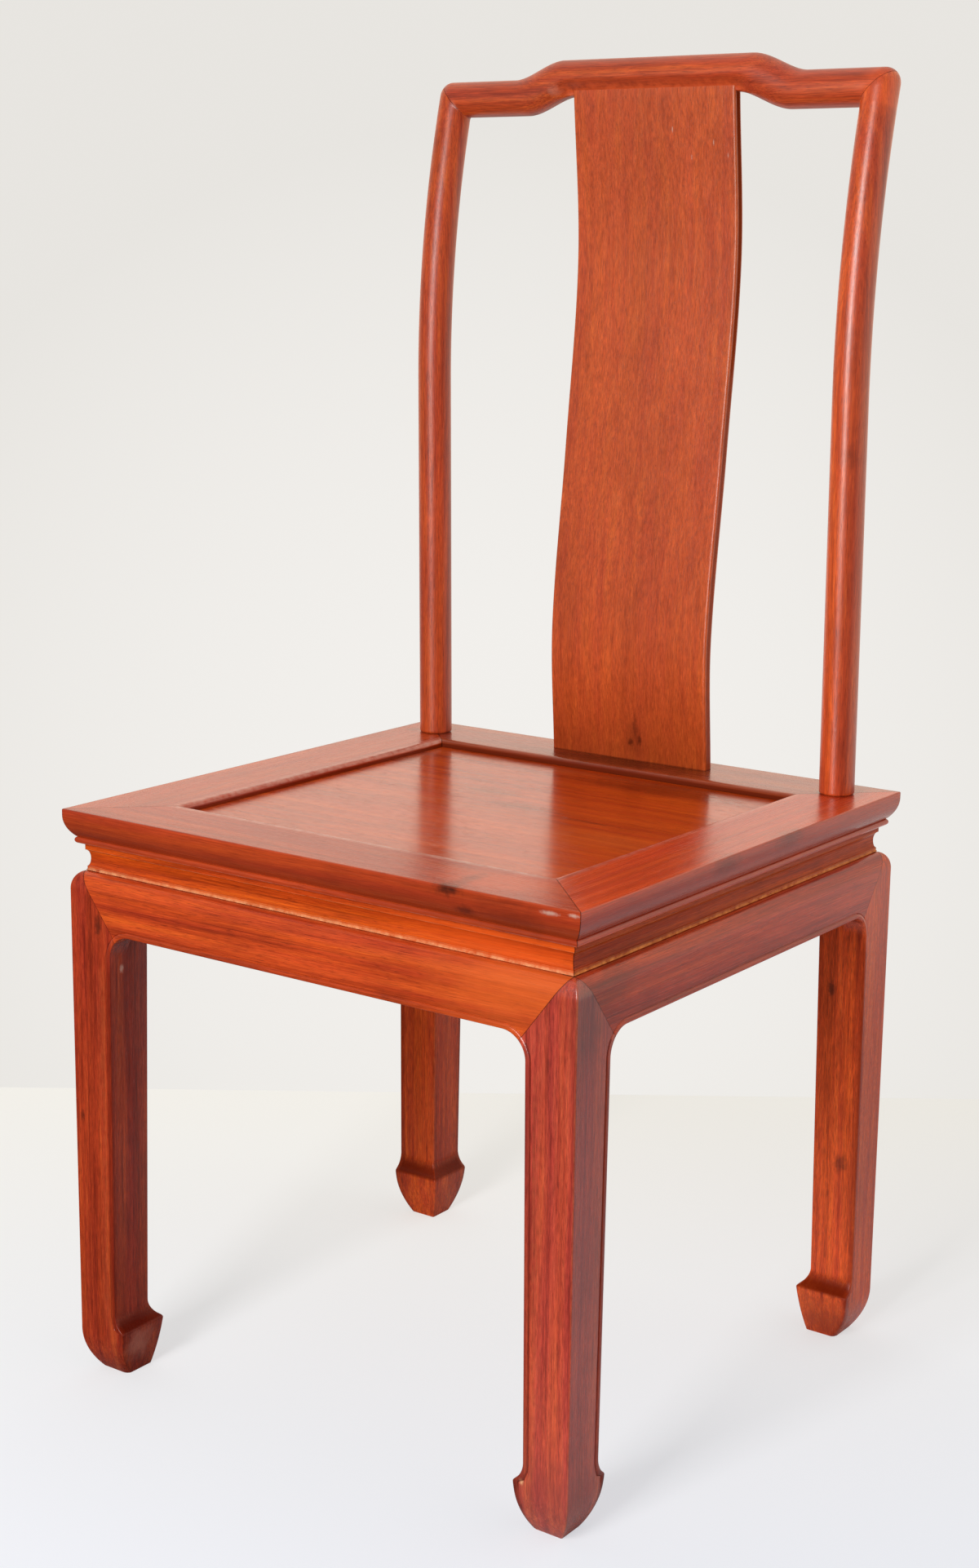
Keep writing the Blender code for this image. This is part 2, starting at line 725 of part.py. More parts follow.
def stile_slope(height):
    """Set-back per height of a stile's axis; its foot stands square on the seat."""
    if height <= FIT:
        return 0.0
    run = max(0.0, height - STILE_STRAIGHT)
    return run / math.sqrt(STILE_BEND_RADIUS ** 2 - run * run) - STILE_LEAN


def corner_reach(turn):
    """Distance from the inner corner to the back's rounded outer corner, in direction turn."""
    wide = STILE_DIAMETER + CORNER_INNER_ROUND
    high = CREST_DIAMETER + CORNER_INNER_ROUND
    c, s = math.cos(turn), math.sin(turn)
    cx, cz = wide - CORNER_ROUND, high - CORNER_ROUND
    if wide * s <= cz * c:
        return wide / c
    if high * c <= cx * s:
        return high / s
    along = cx * c + cz * s
    return along + math.sqrt(along * along - cx * cx - cz * cz + CORNER_ROUND ** 2)


def corner_frame():
    """Inner corner point and axes (out, up, back) of the right-hand mitre of the back."""
    up = Vector((0.0, stile_slope(BACK_HEIGHT), 1.0)).normalized()
    out = Vector((1.0, 0.0, 0.0))
    back = up.cross(out)
    axis = Vector((STILE_X, stile_y(BACK_HEIGHT), CREST_LEVEL))
    across = STILE_DIAMETER / 2 + CORNER_INNER_ROUND
    down = CREST_DIAMETER / 2 + CORNER_INNER_ROUND
    return axis - out * across - up * down, out, up, back


def corner_ring(degrees, shift):
    """Oval section of the back's corner, in the plane through the inner corner."""
    inner, out, up, back = corner_frame()
    turn = math.radians(degrees)
    ray = out * math.cos(turn) + up * math.sin(turn)
    normal = up * math.cos(turn) - out * math.sin(turn)
    far = corner_reach(turn)
    share = degrees / 90.0
    depth = STILE_DIAMETER + share * (CREST_DIAMETER - STILE_DIAMETER)
    middle = inner + ray * (far + CORNER_INNER_ROUND) / 2 + normal * shift
    reach = ray * (far - CORNER_INNER_ROUND) / 2
    ring = []
    for k in range(RING_SIDES):
        a = 2 * math.pi * k / RING_SIDES
        ring.append(tuple(middle + reach * math.cos(a) + back * (depth / 2) * math.sin(a)))
    return ring


def crest_tenon(clearance):
    """Square tenon on a stile's mitre, reaching up into the crest rail."""
    inner, out, up, back = corner_frame()
    middle = inner + out * (CORNER_INNER_ROUND + STILE_DIAMETER / 2)
    wide = out * (CREST_TENON_WIDTH / 2 + clearance)
    deep = back * (CREST_TENON_THICK / 2 + clearance)
    low = up * CORNER_INNER_ROUND
    high = up * (CORNER_INNER_ROUND + CREST_TENON_REACH + clearance)
    return loft([
        [tuple(middle + level + sx * wide + sy * deep) for sx, sy in ((-1, -1), (1, -1), (1, 1), (-1, 1))]
        for level in (low, high)
    ])


def stile_ring(height, radius):
    centre = Vector((STILE_X, stile_y(height), SEAT_HEIGHT + height))
    back = Vector((0.0, 1.0, -stile_slope(height))).normalized()
    ring = []
    for k in range(RING_SIDES):
        a = 2 * math.pi * k / RING_SIDES
        ring.append(tuple(centre + Vector((radius * math.cos(a), 0, 0)) + back * radius * math.sin(a)))
    return ring


def add_stiles():
    tenon = STILE_TENON_DIAMETER / 2
    radius = STILE_DIAMETER / 2
    top = BACK_HEIGHT - CREST_DIAMETER / 2 - CORNER_BLEND
    heights = steps_between(STILE_STRAIGHT, top, 2 * ARC_STEPS)
    base = [stile_ring(-STILE_TENON_LENGTH, tenon), stile_ring(FIT, tenon), stile_ring(FIT, radius)]
    shaft = [stile_ring(STILE_STRAIGHT / 2, radius)] + [stile_ring(h, radius) for h in heights]
    corner = [corner_ring(turn, 0.0) for turn in CORNER_TURNS[:-1]]
    corner.append(corner_ring(CORNER_TURNS[-1], -FIT / 2))
    right = carve(loft(base + shaft + corner), [("UNION", crest_tenon(0.0))])
    add_piece("stile_right", right, WOOD_LIT)
    add_piece("stile_left", mirror_x(right), WOOD_LIT)


def crest_lift(x, turn):
    """Rise of the crest at x; its underside (turn 180 degrees) steps up nearer the middle."""
    foot = CREST_RISE_FOOT - CREST_RISE_LAG * (1 - math.cos(turn)) / 2
    return CREST_RISE * eased((foot - abs(x)) / (CREST_RISE_FOOT - CREST_RISE_HEAD))


def crest_cove(x, front, drop):
    """Set-back of the crest's front at a drop below its middle, hollowed to the splat's face."""
    face = splat_front(splat_top()) + OVERLAP
    share = (drop - CREST_COVE_HEAD) / (CREST_COVE_FOOT - CREST_COVE_HEAD)
    bulge = stile_y(BACK_HEIGHT) - CREST_DIAMETER / 2
    hollow = bulge + (face - bulge) * eased(share)
    run = (SPLAT_WIDTH / 2 + CREST_COVE_RUNOUT - abs(x)) / CREST_COVE_RUNOUT
    return front + max(0.0, hollow - front) * eased(run)


def crest_ring(x):
    inner, out, up, back = corner_frame()
    middle = inner + up * (CORNER_INNER_ROUND + CREST_DIAMETER / 2)
    radius = CREST_DIAMETER / 2
    ring = []
    for k in range(RING_SIDES):
        a = 2 * math.pi * k / RING_SIDES
        point = middle + up * radius * math.cos(a) + back * radius * math.sin(a)
        front = crest_cove(x, point.y, middle.z - point.z)
        ring.append((x, front, point.z + crest_lift(x, a)))
    return ring


def add_crest():
    corner = [corner_ring(90 - CORNER_TURNS[-1], FIT / 2)]
    corner += [corner_ring(90 - turn, 0.0) for turn in reversed(CORNER_TURNS[:-1])]
    middle = min(CREST_RISE_HEAD - CREST_RISE_LAG, SPLAT_WIDTH / 2)
    places = steps_between(CREST_RISE_FOOT, middle, 4 * ARC_STEPS)
    right = corner + [crest_ring(x) for x in places]
    left = [[(-x, y, z) for x, y, z in ring] for ring in reversed(right)]
    tenon = crest_tenon(FIT)
    level = CREST_LEVEL + CREST_RISE - CREST_DIAMETER / 2
    half = SPLAT_WIDTH / 2 + FIT
    front = splat_front(splat_top()) - FIT
    back = front + SPLAT_THICK + 2 * FIT
    mortise = box(-half, half, front, back, level - REACH, SEAT_HEIGHT + splat_top() + FIT)
    crest = carve(loft(right + left), [
        ("DIFFERENCE", tenon), ("DIFFERENCE", mirror_x(tenon)), ("DIFFERENCE", mortise),
    ])
    add_piece("crest_rail", crest, WOOD_LIT)


def splat_top():
    """Height above the seat of the splat's upper end, inside the crest rail."""
    return BACK_HEIGHT + CREST_RISE - CREST_DIAMETER / 2 + SPLAT_TENON


def splat_front(height):
    """Set-back of the splat's front face: a smooth sway through five chosen places."""
    shoulder = BACK_HEIGHT + CREST_RISE - CREST_DIAMETER / 2
    head = stile_y(BACK_HEIGHT) - STILE_Y - SPLAT_HEAD_SET
    places = [
        (0.0, SPLAT_FOOT_SET), (SPLAT_LOW_HEIGHT, SPLAT_LOW_SET), (SPLAT_MID_HEIGHT, SPLAT_MID_SET),
        (SPLAT_HIGH_HEIGHT, SPLAT_HIGH_SET), (shoulder, head),
    ]
    height = min(shoulder, max(0.0, height))
    slopes = []
    for k in range(len(places)):
        low = places[max(k - 1, 0)]
        high = places[min(k + 1, len(places) - 1)]
        slopes.append((high[1] - low[1]) / (high[0] - low[0]))
    k = max(i for i in range(len(places) - 1) if places[i][0] <= height)
    (h0, y0), (h1, y1) = places[k], places[k + 1]
    span = h1 - h0
    t = (height - h0) / span
    bend = (
        y0 * (1 + 2 * t) * (1 - t) ** 2 + span * slopes[k] * t * (1 - t) ** 2
        + y1 * t * t * (3 - 2 * t) + span * slopes[k + 1] * t * t * (t - 1)
    )
    return STILE_Y + bend


def splat_ring(height):
    front = splat_front(height)
    back = front + SPLAT_THICK
    half = SPLAT_WIDTH / 2
    e = SPLAT_EASE
    f = SPLAT_EASE * (1 - math.sqrt(0.5))
    plan = [
        (-half + e, front), (half - e, front), (half - f, front + f), (half, front + e),
        (half, back - e), (half - f, back - f), (half - e, back), (-half + e, back),
        (-half + f, back - f), (-half, back - e), (-half, front + e), (-half + f, front + f),
    ]
    return [(x, y, SEAT_HEIGHT + height) for x, y in plan]


def add_splat():
    shoulder = splat_top() - SPLAT_TENON
    heights = [-SPLAT_TENON] + steps_between(0.0, shoulder, 4 * ARC_STEPS) + [splat_top()]
    add_piece("back_splat", loft([splat_ring(h) for h in heights]), WOOD_LIT)


for item in list(bpy.data.objects):
    bpy.data.objects.remove(item)

CHAIR = bpy.data.objects.new("chair", None)
bpy.context.collection.objects.link(CHAIR)

add_rails()
add_panel()
add_braces()
add_skirt()
add_legs()
add_stiles()
add_crest()
add_splat()
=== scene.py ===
import math
import bmesh
import bpy
from mathutils import Matrix, Vector


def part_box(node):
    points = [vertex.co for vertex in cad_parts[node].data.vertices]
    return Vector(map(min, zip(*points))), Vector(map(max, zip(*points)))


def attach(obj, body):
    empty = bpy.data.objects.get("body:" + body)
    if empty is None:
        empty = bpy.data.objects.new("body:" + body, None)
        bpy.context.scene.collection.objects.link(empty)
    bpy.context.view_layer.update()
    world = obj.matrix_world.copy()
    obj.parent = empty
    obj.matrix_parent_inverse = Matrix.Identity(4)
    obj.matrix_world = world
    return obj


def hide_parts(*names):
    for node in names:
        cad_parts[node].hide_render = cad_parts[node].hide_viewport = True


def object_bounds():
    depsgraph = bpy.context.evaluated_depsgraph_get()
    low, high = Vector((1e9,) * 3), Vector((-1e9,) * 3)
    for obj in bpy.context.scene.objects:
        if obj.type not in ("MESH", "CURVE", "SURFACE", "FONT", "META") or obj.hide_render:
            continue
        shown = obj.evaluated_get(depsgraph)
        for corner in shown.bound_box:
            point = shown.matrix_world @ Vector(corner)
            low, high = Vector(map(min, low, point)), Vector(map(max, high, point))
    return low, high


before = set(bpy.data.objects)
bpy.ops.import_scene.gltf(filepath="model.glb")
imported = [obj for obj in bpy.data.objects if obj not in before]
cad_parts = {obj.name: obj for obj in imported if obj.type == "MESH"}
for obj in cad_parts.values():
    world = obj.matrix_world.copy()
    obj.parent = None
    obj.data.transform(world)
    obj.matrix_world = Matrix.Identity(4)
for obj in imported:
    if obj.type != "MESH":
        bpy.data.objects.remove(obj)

cadLow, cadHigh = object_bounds()
railLow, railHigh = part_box("seat_rail_front")
seat = {"halfWidth": cadHigh[0], "halfDepth": -railLow[1], "top": railHigh[2]}
sides = {  # middle of the outer edge, turn, half length
    "front": (0.0, -seat["halfDepth"], 0, seat["halfWidth"]),
    "right": (seat["halfWidth"], 0.0, 90, seat["halfDepth"]),
    "back": (0.0, seat["halfDepth"], 180, seat["halfWidth"]),
    "left": (-seat["halfWidth"], 0.0, 270, seat["halfDepth"]),
}
sideGrain = {"front": "X", "right": "Y", "back": "X", "left": "Y"}
corners = {  # outer corner, turn
    "front_left": (-seat["halfWidth"], -seat["halfDepth"], 0),
    "front_right": (seat["halfWidth"], -seat["halfDepth"], 90),
    "back_right": (seat["halfWidth"], seat["halfDepth"], 180),
    "back_left": (-seat["halfWidth"], seat["halfDepth"], 270),
}
print("frame loaded", [round(v, 4) for v in cadHigh])


# shared shapes

def stepsBetween(start, end, count):
    return [start + (end - start) * k / count for k in range(count + 1)]


def eased(share):  # 0 to 1 with a soft start and end
    share = min(1.0, max(0.0, share))
    return share * share * (3 - 2 * share)


def rounding(width, height, run):  # sideways travel along an arc that starts straight
    radius = (height * height + width * width) / (2 * width)
    return radius - math.sqrt(radius * radius - run * run)


def roundedOutline(points, steps=4, flank=1.6):  # (u, z, radius, wear with painted light and shade) to (u, z, the same), corners rounded
    outline = []
    for k, (u, z, radius, wearLightShade) in enumerate(points):
        if radius == 0:
            outline.append((u, z, wearLightShade))
            continue
        here = Vector((u, z))
        before = (Vector(points[k - 1][:2]) - here).normalized()
        after = (Vector(points[(k + 1) % len(points)][:2]) - here).normalized()
        half = before.angle(after) / 2
        reach = radius / math.tan(half)
        centre = here + (before + after).normalized() * radius / math.sin(half)
        first = here + before * reach - centre
        last = here + after * reach - centre
        start = math.atan2(first.y, first.x)
        turn = (math.atan2(last.y, last.x) - start + math.pi) % (2 * math.pi) - math.pi
        outline.append((*(here + before * reach * flank), 0.0))  # the painted wear, light and shade end here
        for step in range(steps + 1):
            a = start + turn * step / steps
            outline.append((centre.x + radius * math.cos(a), centre.y + radius * math.sin(a), wearLightShade))
        outline.append((*(here + after * reach * flank), 0.0))
    return outline


def loftMesh(name, rings, weld=2e-6):  # rings of (x, y, z, wear with painted light and shade, joint), closed at both ends
    mesh = bmesh.new()
    wearLightShadeLayer = mesh.verts.layers.float.new("wearLightShade")
    jointLayer = mesh.verts.layers.float.new("joint")
    rows = []
    for ring in rings:
        row = []
        for x, y, z, wearLightShade, joint in ring:
            vert = mesh.verts.new((x, y, z))
            vert[wearLightShadeLayer] = wearLightShade
            vert[jointLayer] = joint
            row.append(vert)
        rows.append(row)
    count = len(rows[0])
    for low, high in zip(rows, rows[1:]):
        for k in range(count):
            mesh.faces.new((low[k], low[(k + 1) % count], high[(k + 1) % count], high[k]))
    mesh.faces.new(rows[0])
    mesh.faces.new(rows[-1])
    bmesh.ops.remove_doubles(mesh, verts=mesh.verts[:], dist=weld)
    bmesh.ops.recalc_face_normals(mesh, faces=mesh.faces[:])
    data = bpy.data.meshes.new(name)
    mesh.to_mesh(data)
    mesh.free()
    return data


def addPiece(name, mesh, material=None, turn=0, place=(0.0, 0.0), sharp=38):
    mesh.name = "look_" + name
    mesh.transform(Matrix.Translation((*place, 0.0)) @ Matrix.Rotation(math.radians(turn), 4, "Z"))
    if material:
        mesh.materials.clear()
        mesh.materials.append(material)
    mesh.shade_smooth()
    mesh.set_sharp_from_angle(angle=math.radians(sharp))
    piece = bpy.data.objects.new("look_" + name, mesh)
    bpy.context.collection.objects.link(piece)
    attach(piece, "root")
    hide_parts(name)
    return piece


def mirrored(rings):
    return [[(-x, y, z, wearLightShade, joint) for x, y, z, wearLightShade, joint in ring] for ring in rings]


# wood

wood = {  # colours linear, lengths in metres, sizes across, across and along the grain
    "body": (0.420, 0.0450, 0.0080),
    "deepShare": (0.46, 0.34, 0.40),  # of the body, in the dark grain
    "lightShare": (1.42, 1.95, 1.60),
    "darkShare": 0.6,  # of the deep colour, in pores, lines and painted shade
    "bodyStop": 0.48,  # where the body colour stands between deep and light
    "grainRange": (0.32, 0.68),
    "bandWeight": 0.30,
    "streakWeight": 0.40,
    "fibreWeight": 0.30,
    "ringPitch": 0.0075,
    "streak": 0.0042,
    "streakLength": 0.24,
    "fibre": 0.0010,
    "fibreLength": 0.050,
    "hairShare": (0.4, 0.4, 0.3),  # of the fibre
    "fleck": 0.22,
    "softRange": (0.3, 0.7),
    "cool": (0.90, 0.80, 1.06),
    "warm": (1.06, 1.20, 0.95),
    "hueSize": (0.012, 0.012, 0.30),
    "hueRange": (0.35, 0.65),
    "mottle": 0.12,
    "mottleSize": (0.05, 0.05, 0.16),
    "pore": 0.00045,
    "poreLength": 0.010,
    "poreRange": (0.60, 0.68),
    "poreAmount": 0.50,
    "lineSize": (0.0022, 0.0022, 0.22),
    "lineRange": (0.60, 0.74),
    "lineAmount": 0.45,
    "blotchSize": (0.018, 0.018, 0.055),
    "blotchRange": (0.58, 0.75),
    "blotch": 0.30,
    "wander": 0.010,
    "wanderSize": (0.09, 0.09, 0.42),
    "runOut": (0.5, 0.3),
    "pith": (0.080, 0.045),
    "seedShift": 1.37,  # along the grain
    "seedBand": 7.3,
    # pale colour for wear, also used for painted highlights and painted light
    "wornAndLit": (0.760, 0.2300, 0.0700),
    "wornAndLitAmount": 0.45,
    "rubSize": (0.006, 0.006, 0.006),
    "rubRange": (0.30, 0.65, 0.15, 1.0),
    "seam": (0.040, 0.0060, 0.0030),
    "seamAmount": 0.6,
    "roughness": 0.24,
    "roughSpread": (-0.04, 0.06),
    "sheen": 0.40,
    "dull": 0.0,  # shine lost where shade is painted
    "poreDepth": 0.6,
    "hairHeight": 0.5,
    "bumpStrength": 0.16,
    "bumpDistance": 0.0003,
    "marks": (),  # place, reach, stretch, strength, colour
    "markGrain": 0.5,  # shares of a mark's reach
    "markCore": 0.6,
    "markRim": 1.5,
}
grainTurns = {"X": (0.0, -90.0, 0.0), "Y": (90.0, 0.0, 0.0), "Z": (0.0, 0.0, 0.0)}
resin = (0.020, 0.004, 0.002)
# dark paint for dirt and knot halos, also used for painted shade and a painted reflection
grimeAndShade = (0.06, 0.010, 0.004)
chalk = (0.62, 0.42, 0.34)


def addNode(tree, kind, inputs=None, **settings):
    made = tree.nodes.new(kind)
    for key, value in settings.items():
        setattr(made, key, value)
    for key, value in (inputs or {}).items():
        if isinstance(value, bpy.types.NodeSocket):
            tree.links.new(value, made.inputs[key])
        else:
            made.inputs[key].default_value = value
    return made


def mathNode(tree, operation, *values, clamp=False):
    made = addNode(tree, "ShaderNodeMath", dict(enumerate(values)), operation=operation, use_clamp=clamp)
    return made.outputs[0]


def vectorNode(tree, operation, *values):
    made = addNode(tree, "ShaderNodeVectorMath", dict(enumerate(values)), operation=operation)
    return made.outputs["Value" if operation in ("LENGTH", "DOT_PRODUCT") else "Vector"]


def noiseNode(tree, vector, size, detail=2.0, roughness=0.5, output=0):
    scaled = vectorNode(tree, "MULTIPLY", vector, tuple(1 / s for s in size))
    made = addNode(tree, "ShaderNodeTexNoise", {
        "Vector": scaled, "Scale": 1.0, "Detail": detail, "Roughness": roughness,
    }, noise_dimensions="3D")
    return made.outputs[output]


def bandNode(tree, value, pitch, shift, detail, roughness):
    scaled = mathNode(tree, "MULTIPLY_ADD", value, 1 / pitch, shift)
    made = addNode(tree, "ShaderNodeTexNoise", {
        "W": scaled, "Scale": 1.0, "Detail": detail, "Roughness": roughness,
    }, noise_dimensions="1D")
    return made.outputs[0]


def rangeNode(tree, value, low, high, first=0.0, last=1.0, smooth=False):
    made = addNode(tree, "ShaderNodeMapRange", {
        0: value, 1: low, 2: high, 3: first, 4: last,
    }, interpolation_type="SMOOTHSTEP" if smooth else "LINEAR")
    return made.outputs[0]


def mixNode(tree, factor, first, second, blend="MIX"):
    made = addNode(tree, "ShaderNodeMix", {
        0: factor, 6: first, 7: second,  # the sockets for colours
    }, data_type="RGBA", blend_type=blend, clamp_factor=True)
    return made.outputs[2]


def colour(values, shares=(1.0, 1.0, 1.0)):
    return (*[v * s for v, s in zip(values, shares)], 1.0)


def alongGrain(look, key):
    return (look[key], look[key], look[key + "Length"])


def grainSpace(tree, place, node, axis, seed, look):  # Z along the grain, the pith beside the piece
    low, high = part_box(node)
    centre = Vector([(a + b) / 2 for a, b in zip(low, high)])
    turn = [math.radians(a) for a in grainTurns[axis]]
    turn[0] += math.radians(look["runOut"][0])
    turn[1] += math.radians(look["runOut"][1])
    spin = Matrix.Rotation(turn[2], 3, "Z") @ Matrix.Rotation(turn[1], 3, "Y")
    spin = spin @ Matrix.Rotation(turn[0], 3, "X")
    shift = Vector((*look["pith"], seed * look["seedShift"])) - spin @ centre
    grain = addNode(tree, "ShaderNodeMapping", {
        "Vector": place, "Location": shift, "Rotation": turn,
    }).outputs[0]
    wander = noiseNode(tree, grain, look["wanderSize"], output=1)  # wavering of the rings
    wander = vectorNode(tree, "SUBTRACT", wander, (0.5, 0.5, 0.5))
    wander = vectorNode(tree, "MULTIPLY", wander, (look["wander"], look["wander"], 0.0))
    return vectorNode(tree, "ADD", grain, wander)


def grainTone(tree, grain, fibre, hair, seed, look):  # rings, streaks, fibres, patches of hue and shade
    radius = vectorNode(tree, "LENGTH", vectorNode(tree, "MULTIPLY", grain, (1.0, 1.0, 0.0)))
    broad = bandNode(tree, radius, look["ringPitch"], seed * look["seedBand"], 3.0, 0.55)
    streak = noiseNode(tree, grain, alongGrain(look, "streak"), 3.0, 0.55)
    value = mathNode(tree, "MULTIPLY", broad, look["bandWeight"])
    value = mathNode(tree, "MULTIPLY_ADD", streak, look["streakWeight"], value)
    value = mathNode(tree, "MULTIPLY_ADD", fibre, look["fibreWeight"], value)
    ramp = addNode(tree, "ShaderNodeValToRGB", {0: rangeNode(tree, value, *look["grainRange"])})
    stops = ramp.color_ramp.elements
    stops[0].color = colour(look["body"], look["deepShare"])
    stops[1].color = colour(look["body"], look["lightShare"])
    stops.new(look["bodyStop"]).color = colour(look["body"])
    hue = rangeNode(tree, noiseNode(tree, grain, look["hueSize"]), *look["hueRange"])
    hue = mixNode(tree, hue, colour(look["cool"]), colour(look["warm"]))
    tone = mixNode(tree, 1.0, ramp.outputs[0], hue, "MULTIPLY")
    mottle = noiseNode(tree, grain, look["mottleSize"])
    shade = rangeNode(tree, mottle, *look["softRange"], 1 - look["mottle"], 1 + look["mottle"])
    fleck = rangeNode(tree, hair, *look["softRange"], 1 - look["fleck"], 1 + look["fleck"])
    tone = vectorNode(tree, "SCALE", tone)
    tree.links.new(mathNode(tree, "MULTIPLY", shade, fleck), tone.node.inputs["Scale"])
    return tone


def markedTone(tree, tone, place, look):  # knots, stains, scuffs, and patches of painted light, shade and reflection
    for spot, reach, stretch, strength, paint in look["marks"]:
        away = vectorNode(tree, "SUBTRACT", place, spot)
        away = vectorNode(tree, "LENGTH", vectorNode(tree, "DIVIDE", away, stretch))
        ragged = noiseNode(tree, place, (reach * look["markGrain"],) * 3, 3.0, 0.6)
        away = mathNode(tree, "ADD", away, mathNode(tree, "MULTIPLY", ragged, reach))
        core = reach * look["markCore"]
        rim = reach * look["markRim"]
        tone = mixNode(tree, rangeNode(tree, away, core, rim, strength, 0.0, True), tone, colour(paint))
    return tone


def woodMaterial(node, axis, seed, **changes):
    look = {**wood, **changes}
    material = bpy.data.materials.new("wood_" + node)
    material.use_nodes = True
    material.diffuse_color = colour(look["body"])
    tree = material.node_tree
    shader = tree.nodes["Principled BSDF"]
    place = addNode(tree, "ShaderNodeTexCoord").outputs["Object"]
    grain = grainSpace(tree, place, node, axis, seed, look)
    fibreSize = alongGrain(look, "fibre")
    hairSize = [size * share for size, share in zip(fibreSize, look["hairShare"])]
    fibre = noiseNode(tree, grain, fibreSize, 3.0, 0.6)
    hair = noiseNode(tree, grain, hairSize, 2.0, 0.6)
    tone = grainTone(tree, grain, fibre, hair, seed, look)

    pores = rangeNode(tree, noiseNode(tree, grain, alongGrain(look, "pore"), 1.0), *look["poreRange"])
    lines = rangeNode(tree, noiseNode(tree, grain, look["lineSize"]), *look["lineRange"])
    blotch = rangeNode(tree, noiseNode(tree, grain, look["blotchSize"]), *look["blotchRange"])
    dark = colour(look["body"], [s * look["darkShare"] for s in look["deepShare"]])
    for mask, amount in ((pores, "poreAmount"), (lines, "lineAmount"), (blotch, "blotch")):
        tone = mixNode(tree, mathNode(tree, "MULTIPLY", mask, look[amount]), tone, dark)
    tone = markedTone(tree, tone, place, look)

    wearLightShade = addNode(tree, "ShaderNodeAttribute", attribute_name="wearLightShade").outputs["Fac"]
    paintedDark = mathNode(tree, "MULTIPLY", wearLightShade, -1.0, clamp=True)  # below zero: painted shade
    tone = mixNode(tree, paintedDark, tone, dark)
    rubbed = rangeNode(tree, noiseNode(tree, place, look["rubSize"], 3.0, 0.6), *look["rubRange"])
    rubbed = mathNode(tree, "MULTIPLY", rubbed, look["wornAndLitAmount"])
    tone = mixNode(tree, mathNode(tree, "MULTIPLY", wearLightShade, rubbed, clamp=True), tone, colour(look["wornAndLit"]))
    seam = addNode(tree, "ShaderNodeAttribute", attribute_name="joint").outputs["Fac"]
    tone = mixNode(tree, mathNode(tree, "MULTIPLY", seam, look["seamAmount"]), tone, colour(look["seam"]))
    tree.links.new(tone, shader.inputs["Base Color"])

    rough = [look["roughness"] + spread for spread in look["roughSpread"]]
    tree.links.new(rangeNode(tree, fibre, *look["softRange"], *rough), shader.inputs["Roughness"])
    shader.inputs["Specular IOR Level"].default_value = look["sheen"]
    if look["dull"]:
        loss = -look["dull"] * look["sheen"]
        shine = mathNode(tree, "MULTIPLY_ADD", paintedDark, loss, look["sheen"], clamp=True)
        tree.links.new(shine, shader.inputs["Specular IOR Level"])
    height = mathNode(tree, "MULTIPLY", hair, look["hairHeight"])
    height = mathNode(tree, "MULTIPLY_ADD", pores, -look["poreDepth"], height)
    bump = addNode(tree, "ShaderNodeBump", {
        "Strength": look["bumpStrength"], "Distance": look["bumpDistance"], "Height": height,
    })
    tree.links.new(bump.outputs[0], shader.inputs["Normal"])
    shader.inputs["Metallic"].default_value = 0.0
    shader.inputs["IOR"].default_value = 1.5
    return material


# seat frame and waist: a moulded profile run along each side with mitred ends

def mouldingTree():
    tree = bpy.data.node_groups.new("mouldedLength", "GeometryNodeTree")
    for label, kind, way in (
        ("Profile", "Geometry", "INPUT"), ("Half Length", "Float", "INPUT"), ("Mitre Gap", "Float", "INPUT"),
        ("Sections", "Int", "INPUT"), ("Seam Width", "Float", "INPUT"), ("Wood", "Material", "INPUT"),
        ("Moulding", "Geometry", "OUTPUT"),
    ):
        tree.interface.new_socket(label, in_out=way, socket_type="NodeSocket" + kind)
    given = tree.nodes.new("NodeGroupInput").outputs
    line = addNode(tree, "GeometryNodeCurvePrimitiveLine", {
        "Start": (-1.0, 0.0, 0.0), "End": (1.0, 0.0, 0.0),
    })
    cut = addNode(tree, "GeometryNodeResampleCurve", {
        "Curve": line.outputs[0], "Count": given["Sections"],
    })
    section = addNode(tree, "GeometryNodeMeshToCurve", {"Mesh": given["Profile"]})
    sweep = addNode(tree, "GeometryNodeCurveToMesh", {
        "Curve": cut.outputs[0], "Profile Curve": section.outputs[0], "Fill Caps": True,
    })
    place = tree.nodes.new("GeometryNodeInputPosition").outputs[0]
    spot = addNode(tree, "ShaderNodeSeparateXYZ", {0: place}).outputs
    crowd = mathNode(tree, "SUBTRACT", 2.0, mathNode(tree, "ABSOLUTE", spot[0]))
    share = mathNode(tree, "MULTIPLY", spot[0], crowd)  # more sections near the ends
    reach = mathNode(tree, "SUBTRACT", given["Half Length"], spot[1])
    reach = mathNode(tree, "SUBTRACT", reach, given["Mitre Gap"])
    left = mathNode(tree, "SUBTRACT", 1.0, mathNode(tree, "ABSOLUTE", share))
    left = mathNode(tree, "MULTIPLY", left, reach)
    seam = mathNode(tree, "SUBTRACT", 1.0, mathNode(tree, "DIVIDE", left, given["Seam Width"]), clamp=True)
    marked = addNode(tree, "GeometryNodeStoreNamedAttribute", {
        "Geometry": sweep.outputs[0], "Name": "joint", "Value": seam,
    }, data_type="FLOAT", domain="POINT")
    target = addNode(tree, "ShaderNodeCombineXYZ", {
        0: mathNode(tree, "MULTIPLY", share, reach), 1: spot[1], 2: spot[2],
    })
    moved = addNode(tree, "GeometryNodeSetPosition", {
        "Geometry": marked.outputs[0], "Position": target.outputs[0],
    })
    real = addNode(tree, "GeometryNodeRealizeInstances", {"Geometry": moved.outputs[0]})
    done = addNode(tree, "GeometryNodeSetMaterial", {"Geometry": real.outputs[0], "Material": given["Wood"]})
    out = tree.nodes.new("NodeGroupOutput")
    tree.links.new(done.outputs[0], out.inputs["Moulding"])
    return tree


moulding = mouldingTree()


